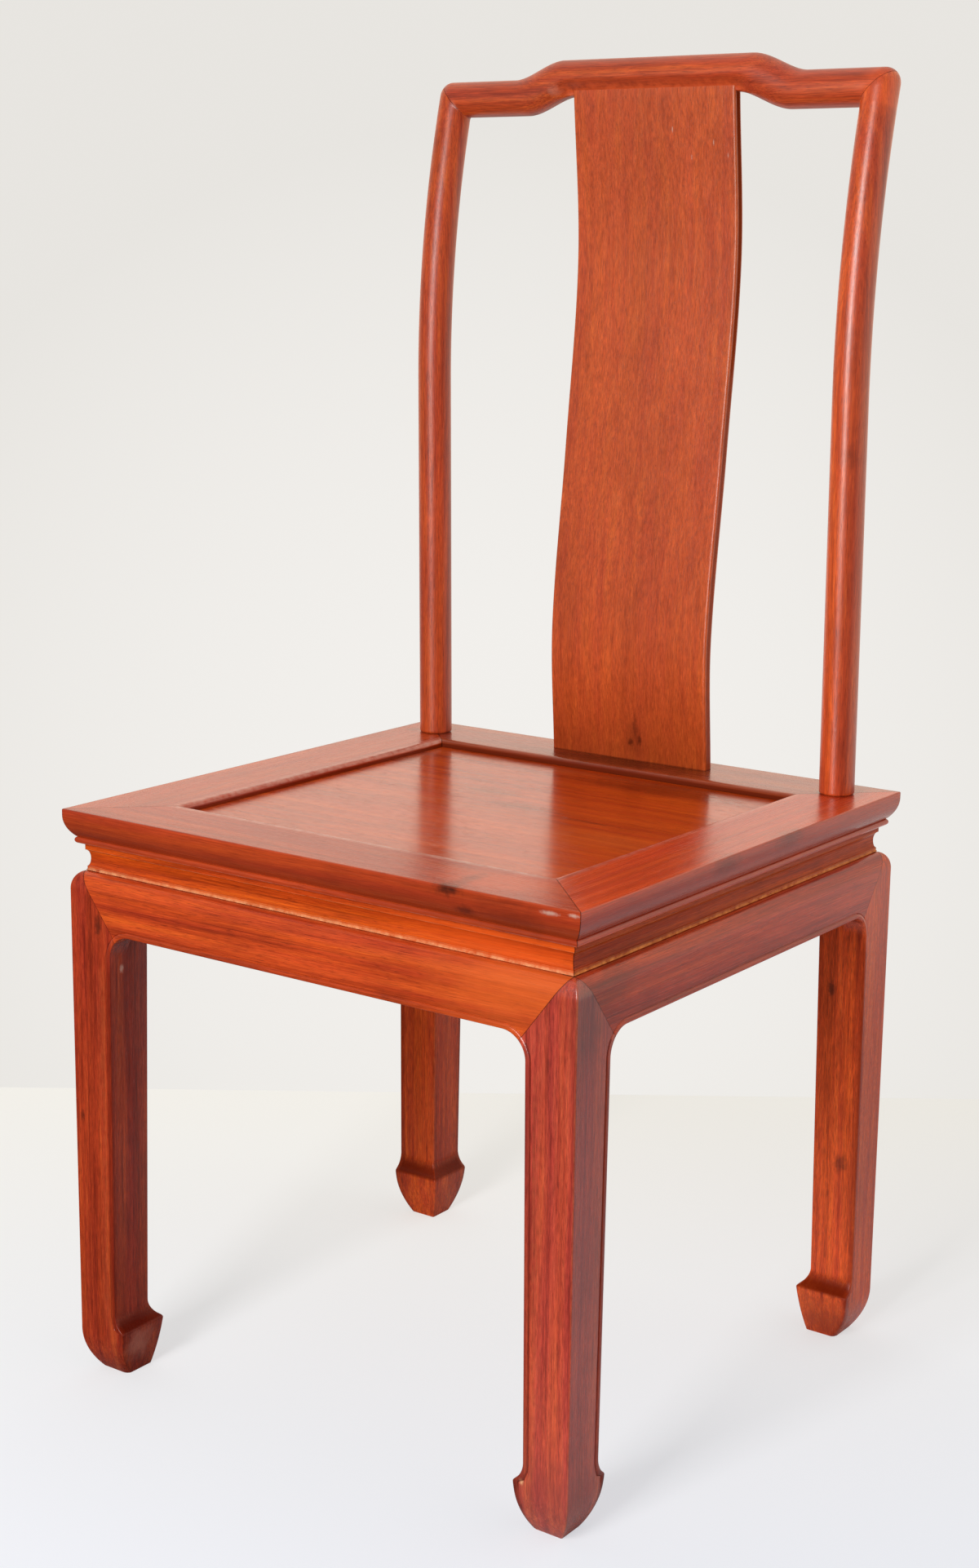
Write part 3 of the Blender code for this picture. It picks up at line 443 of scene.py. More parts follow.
def mouldedMesh(name, outline, half, material, sizes, weld=1e-6):
    profile = bpy.data.meshes.new(name + "_profile")
    count = len(outline)
    edges = [(k, (k + 1) % count) for k in range(count)]
    profile.from_pydata([(-u, -z, 0.0) for u, z, wearLightShade in outline], edges, [])
    wornAndLit = profile.attributes.new("wearLightShade", "FLOAT", "POINT")
    wornAndLit.data.foreach_set("value", [wearLightShade for u, z, wearLightShade in outline])
    carrier = bpy.data.objects.new(name + "_carrier", profile)
    bpy.context.collection.objects.link(carrier)
    modifier = carrier.modifiers.new("moulding", "NODES")
    modifier.node_group = moulding
    values = {
        "Half Length": half, "Mitre Gap": sizes["mitreGap"], "Sections": sizes["sections"],
        "Seam Width": sizes["seam"], "Wood": material,
    }
    for item in moulding.interface.items_tree:
        if item.in_out == "INPUT" and item.name in values:
            modifier[item.identifier] = values[item.name]
    graph = bpy.context.evaluated_depsgraph_get()
    swept = bpy.data.meshes.new_from_object(carrier.evaluated_get(graph))
    bpy.data.objects.remove(carrier)
    bpy.data.meshes.remove(profile)
    mesh = bmesh.new()
    mesh.from_mesh(swept)
    bmesh.ops.remove_doubles(mesh, verts=mesh.verts[:], dist=weld)
    bmesh.ops.recalc_face_normals(mesh, faces=mesh.faces[:])
    mesh.to_mesh(swept)
    mesh.free()
    return swept


rail = {
    "width": 0.0655, "thick": 0.0275, "lip": 0.0050, "topRound": 0.0010,
    "ovolo": 0.0075, "ovoloRound": 0.0005, "quirk": 0.0016, "astragal": 0.00275, "footRound": 0.0008,
    "innerRound": 0.0045, "innerFlat": 0.0060,
    "panelSunk": 0.0060, "tongue": 0.0065, "tongueThick": 0.0050, "cheek": 0.0050,
    "waistTongueInset": 0.0155, "waistTongueThick": 0.0035, "waistTongueLength": 0.0045, "slack": 0.0003,
    "sections": 81, "seam": 0.0005, "mitreGap": 0.0002, "seed": 1.0,
}
rail["foot"] = seat["top"] - rail["thick"]
rail["look"] = {
    "roughness": 0.24, "deepShare": (0.64, 0.54, 0.56), "wornAndLit": (0.88, 0.58, 0.46), "wornAndLitAmount": 0.75,
    "lightShare": (1.26, 1.50, 1.35), "lineAmount": 0.25, "blotch": 0.22, "poreAmount": 0.35,
}
rail["wearLightShade"] = {  # below zero: painted shade, on the lip's edge, down the ovolo, in the quirk and beside the panel; the bead's pale line is rubbing and a painted highlight
    "lip": -0.20, "ovolo": -0.28, "ovoloFoot": -0.40, "quirk": -0.3, "bead": 0.55,
    "foot": 0.4, "panelSide": -0.8,
}
rail["innerEdge"] = {  # pale line of rubbing and painted highlight, where it starts, painted shade
    "front": (0.7, 66, 0.0), "right": (0.3, 66, 0.35), "back": (0.0, 66, 0.75), "left": (0.45, 12, 0.0),
}
rail["tone"] = {
    "front": {"body": (0.46, 0.050, 0.0100), "sheen": 0.36},
    "right": {"body": (0.60, 0.054, 0.0100), "sheen": 0.50},
    "back": {"body": (0.34, 0.050, 0.0150), "sheen": 0.84, "dull": 1.3},
    "left": {"body": (0.49, 0.054, 0.0100), "sheen": 0.46, "dull": 1.0},
}
# darker round each stile's foot
stileFeet = [((s * 0.202, 0.194, 0.464), 0.0225, (1, 1, 1), 0.55, grimeAndShade) for s in (-1, 1)]
rail["marks"] = {
    "front": (
        ((0.1305, -0.2310, 0.4620), 0.0100, (1.5, 1, 0.8), 0.90, resin),
        ((0.1443, -0.2288, 0.4480), 0.0080, (1.6, 1, 0.8), 0.80, resin),
        ((0.2150, -0.2318, 0.4592), 0.0045, (2.2, 1, 0.5), 0.8, chalk),
        ((0.2345, -0.2318, 0.4606), 0.0040, (1.4, 1, 0.5), 0.7, chalk),
        ((0.1850, -0.2290, 0.4500), 0.0200, (2.2, 1, 1), 0.35, grimeAndShade),
        ((0.1550, -0.2000, 0.4640), 0.0450, (1.7, 0.8, 0.3), 0.60, (0.74, 0.090, 0.0080)),
        ((0.1315, -0.2080, 0.4640), 0.0120, (0.9, 2.4, 1), 0.45, grimeAndShade),
    ),
    "right": (
        stileFeet[1],
        ((0.1752, -0.1577, 0.4640), 0.0030, (1, 2.5, 1), 0.5, chalk),
        ((0.2385, -0.0434, 0.4582), 0.0120, (1, 2.5, 1), 0.5, grimeAndShade),
        ((0.2385, 0.0500, 0.4602), 0.0120, (1, 2.5, 1), 0.5, grimeAndShade),
    ),
    "back": (
        *stileFeet,
        # painted shade and a painted reflection of the splat on the strip in front of it
        ((0.0, 0.1850, 0.4640), 0.050, (2.3, 0.5, 1), 0.85, grimeAndShade),
        ((0.1887, 0.1880, 0.4640), 0.0030, (1, 1, 1), 0.95, resin),
    ),
    "left": (stileFeet[0], ((-0.2223, 0.1875, 0.4640), 0.0100, (1, 1, 1), 0.45, grimeAndShade)),
}


def railOutline(side):
    wearLightShade = rail["wearLightShade"]
    pale, start, innerShade = rail["innerEdge"][side]
    top = seat["top"]
    foot = rail["foot"]
    width = rail["width"]
    drop = rail["thick"] - rail["lip"] - 2 * rail["astragal"]
    points = [(0.0, top, rail["topRound"], wearLightShade["lip"])]
    for run in stepsBetween(0.0, drop, 18)[:-1]:
        # painted shade, deeper down the ovolo as it turns from the light
        paintedShade = wearLightShade["ovolo"] + wearLightShade["ovoloFoot"] * run / drop
        points.append((rounding(rail["ovolo"], drop, run), top - rail["lip"] - run, 0, paintedShade))
    points.append((rail["ovolo"], top - rail["lip"] - drop, rail["ovoloRound"], wearLightShade["quirk"]))
    centre = rail["ovolo"] + rail["quirk"]
    for turn in stepsBetween(84, -90, 16):  # bead, pale round 40 degrees below its middle, rubbing and a painted highlight
        a = math.radians(turn)
        u = centre - rail["astragal"] * math.cos(a)
        z = foot + rail["astragal"] * (1 + math.sin(a))
        points.append((u, z, 0, wearLightShade["quirk"] + wearLightShade["bead"] * eased(1 - abs(turn + 40) / 30)))
    near = rail["waistTongueInset"] - rail["slack"]
    far = rail["waistTongueInset"] + rail["waistTongueThick"] + rail["slack"]
    deep = foot + rail["waistTongueLength"] + rail["slack"]
    points += [(near, foot, 0, 0), (near, deep, 0, 0), (far, deep, 0, 0), (far, foot, 0, 0)]
    points.append((width, foot, rail["footRound"], wearLightShade["foot"]))
    roof = top - rail["panelSunk"] - rail["cheek"] + rail["slack"]
    floor = roof - rail["tongueThick"] - 2 * rail["slack"]
    slot = width - rail["tongue"] - rail["slack"]
    points += [(width, floor, 0, 0), (slot, floor, 0, 0), (slot, roof, 0, 0), (width, roof, 0, 0)]
    for turn in stepsBetween(0, 90, 10):  # the pale line and the painted shade spread over degrees of the rounding
        a = math.radians(turn)
        u = width - rail["innerRound"] * (1 - math.cos(a))
        z = top - rail["innerRound"] * (1 - math.sin(a))
        # pale line with a painted highlight, less painted shade where the rounding turns from the light, and
        # painted shade down beside the panel
        rubbed = pale * eased((turn - start) / 16) - innerShade * eased(1 - turn / 90)
        points.append((u, z, 0, rubbed + wearLightShade["panelSide"] * eased(1 - turn / 24)))
    points.append((width - rail["innerRound"] - rail["innerFlat"], top, 0, 0))
    return roundedOutline(points)


waist = {
    "height": 0.0220, "inset": 0.0120, "footInset": 0.0130, "hollow": 0.0150, "hollowTurns": (12, 168),
    "topFillet": 0.0050, "topRound": 0.0004, "footFillet": 0.0035, "footRound": 0.0003, "footBead": 0.00055,
    # the pale lines on the fillets and the foot bead are wear and painted highlights
    "topWearAndLight": 0.35, "footWear": 0.3, "beadWearAndLight": 1.0, "back": 0.0220, "slack": 0.0003,
    "sections": 81, "seam": 0.0005, "mitreGap": 0.0002, "seed": 5.0,
}
waist["foot"] = rail["foot"] - waist["height"]
waist["look"] = {"body": (0.48, 0.052, 0.0040), "wornAndLit": (0.80, 0.38, 0.18), "wornAndLitAmount": 0.8}
waist["tone"] = {
    "front": {
        "sheen": 0.20,
        "marks": (((0.170, -0.2180, 0.4310), 0.080, (1.6, 1, 1), 0.50, (0.74, 0.088, 0.0100)),),
    },
    # painted light: the pale line is stronger on the shaded right side
    "right": {"sheen": 0.08, "wornAndLit": (0.95, 0.34, 0.08), "wornAndLitAmount": 1.0},
    "back": {"sheen": 0.20},
    "left": {"sheen": 0.20},
}


def waistOutline():
    top = rail["foot"] - waist["slack"]
    foot = waist["foot"] + waist["slack"]
    high = top - waist["topFillet"]
    low = foot + waist["footFillet"]
    points = [(waist["inset"], top, 0, 0), (waist["inset"], high, waist["topRound"], waist["topWearAndLight"])]
    for turn in stepsBetween(*waist["hollowTurns"], 18):
        a = math.radians(turn)
        rim = waist["inset"] if turn < 90 else waist["footInset"]
        u = rim + (waist["hollow"] - rim) * math.sin(a)
        points.append((u, (high + low) / 2 + (high - low) / 2 * math.cos(a), 0, 0))
    points.append((waist["footInset"], low, waist["footRound"], waist["footWear"]))
    bead = waist["footBead"]
    for turn in stepsBetween(90, -90, 8):  # thin raised line above the apron, rubbed pale and painted as a highlight
        a = math.radians(turn)
        u = waist["footInset"] - bead * math.cos(a)
        points.append((u, foot + bead * (1 + math.sin(a)), 0, waist["beadWearAndLight"]))
    points += [(waist["back"], foot, 0, 0), (waist["back"], top, 0, 0)]
    return roundedOutline(points, 3)


for k, (name, (x, y, turn, half)) in enumerate(sides.items()):
    node = "seat_rail_" + name
    look = {**rail["look"], **rail["tone"][name], "marks": rail["marks"][name]}
    finish = woodMaterial(node, sideGrain[name], rail["seed"] + k, **look)
    addPiece(node, mouldedMesh(node, railOutline(name), half, finish, rail), None, turn, (x, y))
    node = "waist_" + name
    look = {**waist["look"], **waist["tone"][name]}
    finish = woodMaterial(node, sideGrain[name], waist["seed"] + k, **look)
    addPiece(node, mouldedMesh(node, waistOutline(), half, finish, waist), None, turn, (x, y))
print("rails and waist done")


# seat panel and the braces under it

# the panel's rounded edge is painted dark: a dark joint line with painted shade in the gap
panel = {"thick": 0.0120, "gap": 0.0008, "round": 0.0007, "edgeShade": -0.9, "seed": 12.0}
panel["look"] = {
    "body": (0.54, 0.058, 0.0050), "roughness": 0.15, "sheen": 0.50, "streak": 0.0070, "ringPitch": 0.016,
    "deepShare": (0.62, 0.52, 0.50), "lightShare": (1.26, 1.50, 1.35), "lineAmount": 0.20, "poreAmount": 0.30,
    "marks": (
        # painted reflection of the left stile
        ((-0.165, 0.112, 0.458), 0.030, (1, 1.2, 1), 0.35, grimeAndShade),
        # painted reflection and shade of the splat
        ((0.075, 0.136, 0.458), 0.060, (1.7, 0.6, 1), 0.55, (0.12, 0.010, 0.001)),
        ((-0.038, 0.047, 0.458), 0.030, (1.6, 0.8, 1), 0.35, grimeAndShade),
        ((0.015, 0.018, 0.458), 0.026, (1.8, 0.7, 1), 0.35, grimeAndShade),
        ((0.088, 0.005, 0.458), 0.010, (5.0, 0.4, 1), 0.45, grimeAndShade),
        ((0.132, -0.034, 0.458), 0.045, (1.6, 0.7, 1), 0.35, (0.62, 0.12, 0.02)),
    ),
}


def panelMesh():
    top = seat["top"] - rail["panelSunk"]
    tongueTop = top - rail["cheek"]
    tongueFoot = tongueTop - rail["tongueThick"]
    body = rail["width"] + panel["gap"]
    edge = rail["width"] - rail["tongue"]
    levels = [(body, top - panel["thick"], 0), (body, tongueFoot, 0)]
    levels += [(edge, tongueFoot, 0), (edge, tongueTop, 0), (body, tongueTop, 0)]
    for turn in stepsBetween(0, 90, 4):
        a = math.radians(turn)
        inset = body + panel["round"] * (1 - math.cos(a))
        levels.append((inset, top - panel["round"] * (1 - math.sin(a)), panel["edgeShade"]))
    levels.append((body + 3 * panel["round"], top, 0))
    rings = []
    for inset, level, wearLightShade in levels:
        x = seat["halfWidth"] - inset
        y = seat["halfDepth"] - inset
        rings.append([(sx * x, sy * y, level, wearLightShade, 0) for sx, sy in ((-1, -1), (1, -1), (1, 1), (-1, 1))])
    return loftMesh("panel", rings)


finish = woodMaterial("seat_panel", "X", panel["seed"], **panel["look"])
addPiece("seat_panel", panelMesh(), finish)

brace = {"width": 0.024, "height": 0.022, "round": 0.0012, "wearLightShade": 0.5, "seed": 15.0}
brace["look"] = {"body": (0.34, 0.036, 0.0070), "roughness": 0.50}


def braceMesh(node):
    low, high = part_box(node)
    middle = (low[0] + high[0]) / 2
    span = seat["halfDepth"] - rail["width"] - rail["slack"]
    top = seat["top"] - rail["panelSunk"] - panel["thick"] - rail["slack"]
    foot = top - brace["height"]
    wide = brace["width"] / 2
    corner = (brace["round"], brace["wearLightShade"])
    outline = roundedOutline([
        (middle - wide, top, *corner), (middle + wide, top, *corner),
        (middle + wide, foot, *corner), (middle - wide, foot, *corner),
    ])
    return loftMesh(node, [[(u, y, z, wearLightShade, 0) for u, z, wearLightShade in outline] for y in (-span, span)])


for node in ("seat_brace_left", "seat_brace_right"):
    finish = woodMaterial(node, "Y", brace["seed"], **brace["look"])
    addPiece(node, braceMesh(node), finish)
print("panel and braces done")


# aprons and legs

skirt = {
    "height": 0.0440, "face": 0.0033, "shoulderInset": 0.0125, "shoulderDrop": 0.0140, "shoulderWearAndLight": 0.3,
    "radius": 0.0200, "back": 0.0220, "bevel": 0.0009, "bevelWear": 0.4, "soffit": 0.0040,
    "bead": 0.0040, "beadHeight": 0.0008, "beadWearAndLight": 0.08, "quirk": 0.0009, "quirkDepth": 0.0004,
    "gap": 0.0002, "seed": 20.0,
}
skirt["top"] = waist["foot"]
skirt["foot"] = skirt["top"] - skirt["height"]
skirt["shoulderFoot"] = skirt["top"] - skirt["shoulderDrop"]
skirt["arcFoot"] = skirt["foot"] - skirt["radius"]
skirt["look"] = {
    "front": {
        "body": (0.47, 0.050, 0.0090), "sheen": 0.30,
        "marks": (((0.190, -0.2287, 0.410), 0.085, (1.3, 1, 0.6), 0.55, (0.72, 0.13, 0.022)),),
    },
    "right": {
        "body": (0.53, 0.050, 0.0120),
        # painted shade under the seat's front right corner
        "marks": (((0.2350, -0.1950, 0.4000), 0.0450, (1, 1.3, 0.7), 0.45, grimeAndShade),),
    },
    "back": {},
    "left": {},
}
leg = {
    "size": 0.0415, "ankle": 0.0380, "ankleLevel": 0.0555, "tipLevel": 0.0405, "tipRound": 0.0012,
    "flare": 0.0087, "flatter": 0.6, "turnLevel": 0.0345, "turn": 0.0122, "bottom": 0.0268,
    "cornerWidth": 0.0055, "cornerDepth": 0.0042, "beadRunOut": 0.0120, "seam": 0.0005,
    "arris": 0.0011, "arrisMost": 0.3, "arrisEnd": 2.2, "innerArris": 0.0012, "post": 0.0223,
    "postStep": 0.0012, "postGap": 0.0001, "soffit": 0.0040, "slopeStep": 0.0006, "seed": 30.0,
}
leg["inner"] = skirt["face"] + leg["size"]
leg["rows"] = (  # level, rows up to it
    (0.034, 18), (0.046, 24), (leg["ankleLevel"] + 0.004, 14), (skirt["arcFoot"], 24),
)
leg["arrisWear"] = ((225, 0.4), (240, 0.4), (255, 0.25), (270, 0.0))  # turn, wear
leg["innerArrisWear"] = ((0, 0.1), (22.5, 0.3), (45, 0.3))
# painted highlight beside the quirk
leg["seamWear"] = 0.25
# painted shade on the hoof's cut corners, in the quirk, on the bead and in the hollow
leg["cornerDirt"] = 0.8
leg["quirkDirt"] = 0.55
leg["beadDirt"] = 0.5
leg["hollow"] = {"paintedShade": 0.95, "start": -0.003, "startRun": 0.004, "end": 0.017, "endRun": 0.012}
leg["hoofDirt"] = {"front_left": 0.3, "front_right": 1.0, "back_right": 0.5, "back_left": 0.5}
leg["grain"] = {
    "streak": 0.0034, "streakLength": 0.16, "fibre": 0.0018, "fibreLength": 0.030, "fleck": 0.28, "dull": 0.8,
}
leg["look"] = {
    "front_left": {
        "body": (0.350, 0.033, 0.0095), "sheen": 0.28, "lineAmount": 0.65,
        "marks": (
            ((-0.1953, -0.2163, 0.3406), 0.0030, (1, 1, 1.5), 0.7, chalk),
            ((-0.2073, -0.2287, 0.3754), 0.0080, (0.7, 1, 1.8), 0.7, grimeAndShade),
            ((-0.2290, -0.2287, 0.2165), 0.0040, (0.8, 1, 1.6), 0.6, resin),
            ((-0.1900, -0.2095, 0.0250), 0.0200, (1, 1, 1), 0.80, (0.50, 0.150, 0.1000)),
        ),
    },
    "front_right": {
        "body": (0.43, 0.0480, 0.0220), "sheen": 0.78, "lineAmount": 0.45,
        "marks": (
            ((0.2271, -0.2200, 0.0300), 0.050, (1, 1, 1), 0.4, (0.20, 0.030, 0.024)),
            ((0.1975, -0.2287, 0.0410), 0.0032, (0.8, 1, 1.3), 0.8, (0.80, 0.40, 0.20)),
            # painted shade under the seat's front right corner
            ((0.2370, -0.2150, 0.3900), 0.0400, (0.4, 0.9, 1.3), 0.42, grimeAndShade),
        ),
    },
    "back_right": {
        # painted light: the body is lighter for the light that reaches this leg under the seat
        "body": (0.74, 0.084, 0.0150), "sheen": 0.36,
        "marks": (
            # painted shade over the leg's outer face
            ((0.2390, 0.2100, 0.2000), 0.0060, (1, 40, 60), 0.60, (0.34, 0.040, 0.0090)),
            ((0.2150, 0.1950, 0.0150), 0.0450, (1, 1, 0.8), 0.80, (0.26, 0.032, 0.0080)),
            ((0.2087, 0.188, 0.3026), 0.0070, (0.8, 1, 1.4), 0.75, grimeAndShade),
            ((0.2227, 0.189, 0.1543), 0.0090, (1, 1, 1.2), 0.60, grimeAndShade),
        ),
    },
    "back_left": {"body": (0.46, 0.050, 0.0070), "sheen": 0.25},
}
skirt["arcMiddle"] = leg["inner"] + skirt["radius"]
skirt["mitreReach"] = skirt["arcMiddle"] - skirt["radius"] * math.sqrt(0.5)
skirt["mitreLevel"] = skirt["arcFoot"] + skirt["radius"] * math.sqrt(0.5)
skirt["mitreTurn"] = math.degrees(math.atan2(
    skirt["top"] - skirt["mitreLevel"], skirt["shoulderInset"] - skirt["mitreReach"],
))
leg["rows"] += ((skirt["mitreLevel"] + 0.008, 36), (skirt["shoulderFoot"], 6))


def mitreInset(level):
    share = (skirt["top"] - level) / (skirt["top"] - skirt["mitreLevel"])
    return skirt["shoulderInset"] + share * (skirt["mitreReach"] - skirt["shoulderInset"])


def beadRise(away):  # height of the bead and depth of its quirk at a distance from the edge
    half = skirt["bead"] / 2
    if away <= skirt["bead"]:
        return skirt["beadHeight"] * math.sqrt(max(0.0, 1 - ((away - half) / half) ** 2))
    share = (away - skirt["bead"]) / skirt["quirk"]
    return -skirt["quirkDepth"] * max(0.0, 1 - abs(2 * share - 1))


def beadSteps():  # distances from the edge, from the face to the edge
    half = skirt["bead"] / 2
    far = [skirt["bead"] + skirt["quirk"] * k for k in (2.2, 1.0, 0.5)]
    return far + [half + half * math.cos(math.radians(a)) for a in stepsBetween(0, 180, 14)]


def beadWearAndLight(away):
    half = skirt["bead"] / 2
    return skirt["beadWearAndLight"] * eased(1.25 - abs(away - half) / half) if away < skirt["bead"] else 0.0


def apronColumn(x, zEdge, slope, spread, joint):
    column = [(x + (skirt["top"] - zEdge) * slope, skirt["back"], skirt["top"], 0, joint)]
    for turn in stepsBetween(90, 0, 18):
        a = math.radians(turn)
        z = skirt["shoulderFoot"] + skirt["shoulderDrop"] * math.sin(a)
        y = skirt["shoulderInset"] - (skirt["shoulderInset"] - skirt["face"]) * math.cos(a)
        rubbed = skirt["shoulderWearAndLight"] * eased((turn - 72) / 14)  # pale on the shoulder's top edge, wear and a painted highlight
        column.append((x + (z - zEdge) * slope, y, z, rubbed, joint))
    steps = beadSteps()
    high = zEdge + steps[0] * spread / math.hypot(1, slope)
    for z in stepsBetween(skirt["shoulderFoot"], high, 4)[1:-1]:
        column.append((x + (z - zEdge) * slope, skirt["face"], z, 0, joint))
    for away in steps:
        z = zEdge + away * spread / math.hypot(1, slope)
        column.append((x + (z - zEdge) * slope, skirt["face"] - beadRise(away), z, beadWearAndLight(away), joint))
    bevel = skirt["bevel"]
    column.append((x, skirt["face"] + skirt["soffit"], zEdge, 0, joint))
    column.append((x, skirt["back"] - bevel, zEdge, skirt["bevelWear"], joint))
    column.append((x + bevel * slope, skirt["back"], zEdge + bevel, skirt["bevelWear"], joint))
    column.append((x + 2 * bevel * slope, skirt["back"], zEdge + 2 * bevel, 0, joint))
    return column


def apronMesh(half):
    left = []
    tilt = skirt["mitreTurn"] - 90
    for turn in [135] + stepsBetween(134.3, 90, 26):  # from the mitre, half way round the arc, to its end
        a = math.radians(turn)
        lean = math.radians(tilt * (turn - 90) / 45)  # column direction, from the mitre to upright
        x = -half + skirt["arcMiddle"] + skirt["radius"] * math.cos(a)
        z = skirt["arcFoot"] + skirt["radius"] * math.sin(a)
        spread = 1 / math.cos(a - math.pi / 2 - lean)
        gap, joint = (skirt["gap"], 1.0) if turn == 135 else (0.0, 0.0)
        left.append(apronColumn(x + gap, z, -math.tan(lean), spread, joint))
    start = half - skirt["arcMiddle"]
    straight = [apronColumn(x, skirt["foot"], 0.0, 1.0, 0.0) for x in stepsBetween(-start, start, 40)[1:-1]]
    return loftMesh("apron", left + straight + mirrored(left[::-1]))


def legOuter(level):
    if level < leg["turnLevel"]:
        return skirt["face"] + rounding(leg["turn"], leg["turnLevel"], leg["turnLevel"] - level)
    if level > skirt["shoulderFoot"]:
        share = (level - skirt["shoulderFoot"]) / skirt["shoulderDrop"]
        bend = 1 - math.sqrt(max(0.0, 1 - share * share))
        return skirt["face"] + (skirt["shoulderInset"] - skirt["face"]) * bend
    return skirt["face"]


def legInnerSharp(level):
    tip = leg["ankle"] + leg["flare"]
    if level <= leg["tipLevel"]:
        drawIn = tip - leg["turn"] - leg["bottom"]
        run = min(leg["tipLevel"], leg["tipLevel"] - level)
        curved = rounding(drawIn, leg["tipLevel"], run)
        return skirt["face"] + tip - curved - leg["flatter"] * (drawIn * run / leg["tipLevel"] - curved)
    if level < leg["ankleLevel"]:
        cove = leg["ankleLevel"] - leg["tipLevel"]
        return skirt["face"] + leg["ankle"] + rounding(leg["flare"], cove, leg["ankleLevel"] - level)
    share = min(1.0, (level - leg["ankleLevel"]) / (skirt["arcFoot"] - leg["ankleLevel"]))
    return skirt["face"] + leg["ankle"] + share * (leg["size"] - leg["ankle"])


def legInner(level):  # with the hoof's tip rounded
    if abs(level - leg["tipLevel"]) > 2 * leg["tipRound"]:
        return legInnerSharp(level)
    return sum(legInnerSharp(level + d * leg["tipRound"]) for d in (-1, -0.5, 0, 0.5, 1)) / 5


def legEdge(level, away):  # inset at a distance from the inner edge, measured in the face
    if level <= skirt["arcFoot"]:
        step = leg["slopeStep"]
        slope = (legInner(level + step) - legInner(max(0.0, level - step))) / (step + min(step, level))
        return legInner(level) - away * math.hypot(1, slope)
    rise = level - skirt["arcFoot"]
    reach = skirt["radius"] + away
    return min(skirt["arcMiddle"] - math.sqrt(max(0.0, reach * reach - rise * rise)), mitreInset(level))


def hoofCut(level):  # how far the hoof's lower corners are cut back
    return leg["cornerDepth"] * max(0.0, 1 - level / leg["tipLevel"]) ** 2


def hollowShade(level):  # painted shade in the hollow above the hoof
    hollow = leg["hollow"]
    above = level - leg["tipLevel"]
    faded = eased((hollow["end"] - above) / hollow["endRun"])
    return -hollow["paintedShade"] * eased((above - hollow["start"]) / hollow["startRun"]) * faded


def legBead(level, hoofShading, nearest):  # bead down the inner edge, which runs out on the hoof
    outer = legOuter(level)
    edge = legEdge(level, 0.0)
    mitred = level > skirt["mitreLevel"]
    beaded = eased((level - leg["tipLevel"] + leg["beadRunOut"]) / leg["beadRunOut"])
    hoofShaded = leg["cornerDirt"] * hoofShading * eased(2.5 - 2 * level / leg["tipLevel"])
    points = []
    for away in beadSteps():
        inset = min(max(legEdge(level, away), nearest), edge)
        apart = away
        if level > skirt["arcFoot"]:
            apart = math.hypot(skirt["arcMiddle"] - inset, level - skirt["arcFoot"]) - skirt["radius"]
        lost = max(0.0, 1 - away / leg["cornerWidth"])
        lift = beaded * beadRise(max(0.0, apart)) - hoofCut(level) * (1 - math.sqrt(1 - lost * lost))
        paintedShade = hoofShaded * min(1.0, 1.8 * lost)  # painted shade over the hoof's cut corners, then in the quirk or on the bead
        if not mitred and abs(apart - skirt["bead"]) < 0.6 * skirt["quirk"]:
            paintedShade += leg["quirkDirt"] * beaded
        elif level < skirt["arcFoot"] and away < skirt["bead"]:
            paintedShade += leg["beadDirt"] * beaded
        joint = 1.0 if mitred and inset >= edge - 1e-6 else 0.0
        points.append((inset, outer - lift, beadWearAndLight(apart) * beaded - paintedShade, joint))
    return points


def arrisPoints(centre, bend, wears, shaded=0.0):
    points = []
    for turn, wearLightShade in wears:
        a = math.radians(turn)
        points.append((centre + bend * math.cos(a), centre + bend * math.sin(a), wearLightShade + shaded, 0.0))
    return points


def legHalfRing(level, hoofShading):  # from the outer arris to the inner one
    outer = legOuter(level)
    edge = legEdge(level, 0.0)
    mitred = level > skirt["mitreLevel"]
    bend = min(leg["arris"], leg["arrisMost"] * (edge - outer))
    points = arrisPoints(outer + bend, bend, leg["arrisWear"])
    nearest = outer + leg["arrisEnd"] * bend
    points.append((nearest, outer, 0.0, 0.0))
    start = max(legEdge(level, beadSteps()[0]), nearest)
    points += [(nearest + (start - nearest) * k / 3, outer, 0.0, 0.0) for k in (1, 2)]
    seamWear = leg["seamWear"] if level < skirt["arcFoot"] else 0.0
    points.append((max(nearest, start - leg["seam"]), outer, seamWear, 0.0))
    points += legBead(level, hoofShading, nearest)
    cut = hoofCut(level)
    inner = leg["inner"] if level > skirt["arcFoot"] else edge
    deep = min(leg["post"], edge) if mitred else leg["post"]
    joint = 1.0 if mitred else 0.0
    shaded = hollowShade(level)
    points.append((edge, outer + cut + min(leg["soffit"], 0.6 * (deep - outer - cut)), shaded, joint))
    points.append((edge, deep, shaded, joint))
    points.append((max(leg["post"], min(edge, inner)), leg["post"], shaded, 0.0))
    points.append((inner, leg["post"] + leg["postStep"], shaded, 0.0))
    bend = leg["innerArris"]
    return points + arrisPoints(inner - bend, bend, leg["innerArrisWear"], shaded)


